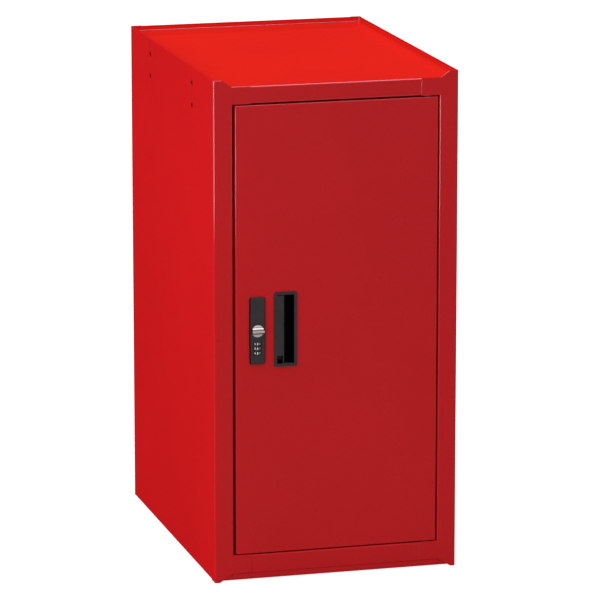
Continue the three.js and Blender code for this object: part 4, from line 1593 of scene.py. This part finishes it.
@dataclass(frozen=True)
class Viewpoint:
    """The photograph's camera, by the point it looks at and where it stands round it."""

    aim: tuple[float, float, float] = (0.0128, 0.0, 0.3226)
    distance: float = 6.0472
    azimuth: float = -15.2449
    elevation: float = 12.6155
    lens: float = 267.057
    sensor: float = 36.0
    sight: float = 100.0

    def stand(self) -> None:
        """Put the camera in the scene."""
        camera = bpy.data.cameras.new("photo_camera")
        camera.lens = self.lens
        camera.sensor_width = self.sensor
        camera.clip_end = self.sight
        turn, lift = math.radians(self.azimuth), math.radians(self.elevation)
        back = Vector((math.sin(turn) * math.cos(lift), -math.cos(turn) * math.cos(lift), math.sin(lift)))
        obj = put("photo_camera", camera)
        obj.location = Vector(self.aim) + back * self.distance
        obj.rotation_euler = (-back).to_track_quat("-Z", "Y").to_euler()
        bpy.context.scene.camera = obj


@dataclass
class Studio:
    """White floor and surroundings, soft lamps and the camera."""

    floor_reach: float = 40.0
    floor_glow: float = 0.9
    floor_tone: float = 0.3
    floor_roughness: float = 0.9
    sky_light: float = 0.38
    mirrored: float = 0.5
    sun_strength: float = 2.6
    sun_spread: float = 70.0
    lamps: tuple[Softbox, ...] = (
        Softbox("front_softbox", (0.7, -3.3, 1.0), (0.0, 0.0, 0.4), (1.3, 1.3), 6.0),
        Softbox("left_softbox", (-3.0, -0.3, 1.9), (0.0, 0.0, 0.4), (1.4, 1.4), 50.0),
        Softbox("left_strip", (-1.5, -1.4, 0.3), (0.0, -0.2, 0.3), (0.25, 0.5), 7.5),
    )
    view: Viewpoint = Viewpoint()

    def build(self) -> None:
        """Set the whole studio up."""
        bpy.context.scene.view_settings.view_transform = "Standard"
        self.view.stand()
        self.lay_floor()
        self.light_sky()
        for lamp in self.lamps:
            lamp.hang()
        sun = bpy.data.lights.new("ceiling_light", "SUN")
        sun.energy = self.sun_strength
        sun.angle = math.radians(self.sun_spread)
        put("ceiling_light", sun)

    def seen_directly(self, sheet: NodeSheet) -> bpy.types.NodeSocket:
        """A value that is 1 for what the camera shows, less for mirrored views, and 0 for scattered light.

        Args:
            sheet: The nodes that it is used in.

        Returns:
            The value.
        """
        path = sheet.add("LightPath", {})
        shown = path.outputs["Is Camera Ray"]
        for ray in ("Is Glossy Ray", "Is Transmission Ray"):
            share = sheet.add("Math", {0: path.outputs[ray], 1: self.mirrored}, operation="MULTIPLY")
            either = sheet.add("Math", {0: shown, 1: share.outputs["Value"]}, operation="MAXIMUM")
            shown = either.outputs["Value"]
        return shown

    def lay_floor(self) -> None:
        """Lay a white floor that keeps the locker's shadow."""
        floor = add(bpy.ops.mesh.primitive_plane_add, size=self.floor_reach)
        floor.name = "studio_floor"
        material = bpy.data.materials.new("floor_white")
        sheet = NodeSheet(material)
        tone = self.floor_tone
        glow = sheet.spread(self.seen_directly(sheet), (0.0, self.floor_glow), WHOLE_RANGE)
        sheet.fill(
            sheet.surface,
            {
                "Base Color": (tone, tone, tone, 1.0),
                "Roughness": self.floor_roughness,
                "Specular IOR Level": 0.0,
                "Emission Color": WHITE,
                "Emission Strength": glow,
            },
        )
        floor.data.materials.append(material)

    def light_sky(self) -> None:
        """Surround the floor with white that lights the locker only softly."""
        world = bpy.data.worlds.new("studio_white")
        sheet = NodeSheet(world, "Background")
        strength = sheet.spread(self.seen_directly(sheet), (self.sky_light, 1.0), WHOLE_RANGE)
        sheet.fill(sheet.surface, {"Color": WHITE, "Strength": strength})
        bpy.context.scene.world = world


def main() -> None:
    """Build the studio and each sub-assembly, and report every piece."""
    logging.basicConfig(level=logging.INFO, format="%(name)s: %(message)s")
    Studio().build()
    finishes = Finishes()
    for assembly in (CabinetShell, Shelving, DoorLeaf, FlushPull, CombinationLock, NumberWheels):
        made = assembly(finishes)
        made.build()
        for piece in made.pieces:
            LOG.info("%s: %s, %d faces", assembly.__name__, piece.name, len(piece.data.polygons))


if __name__ == "__main__":
    main()
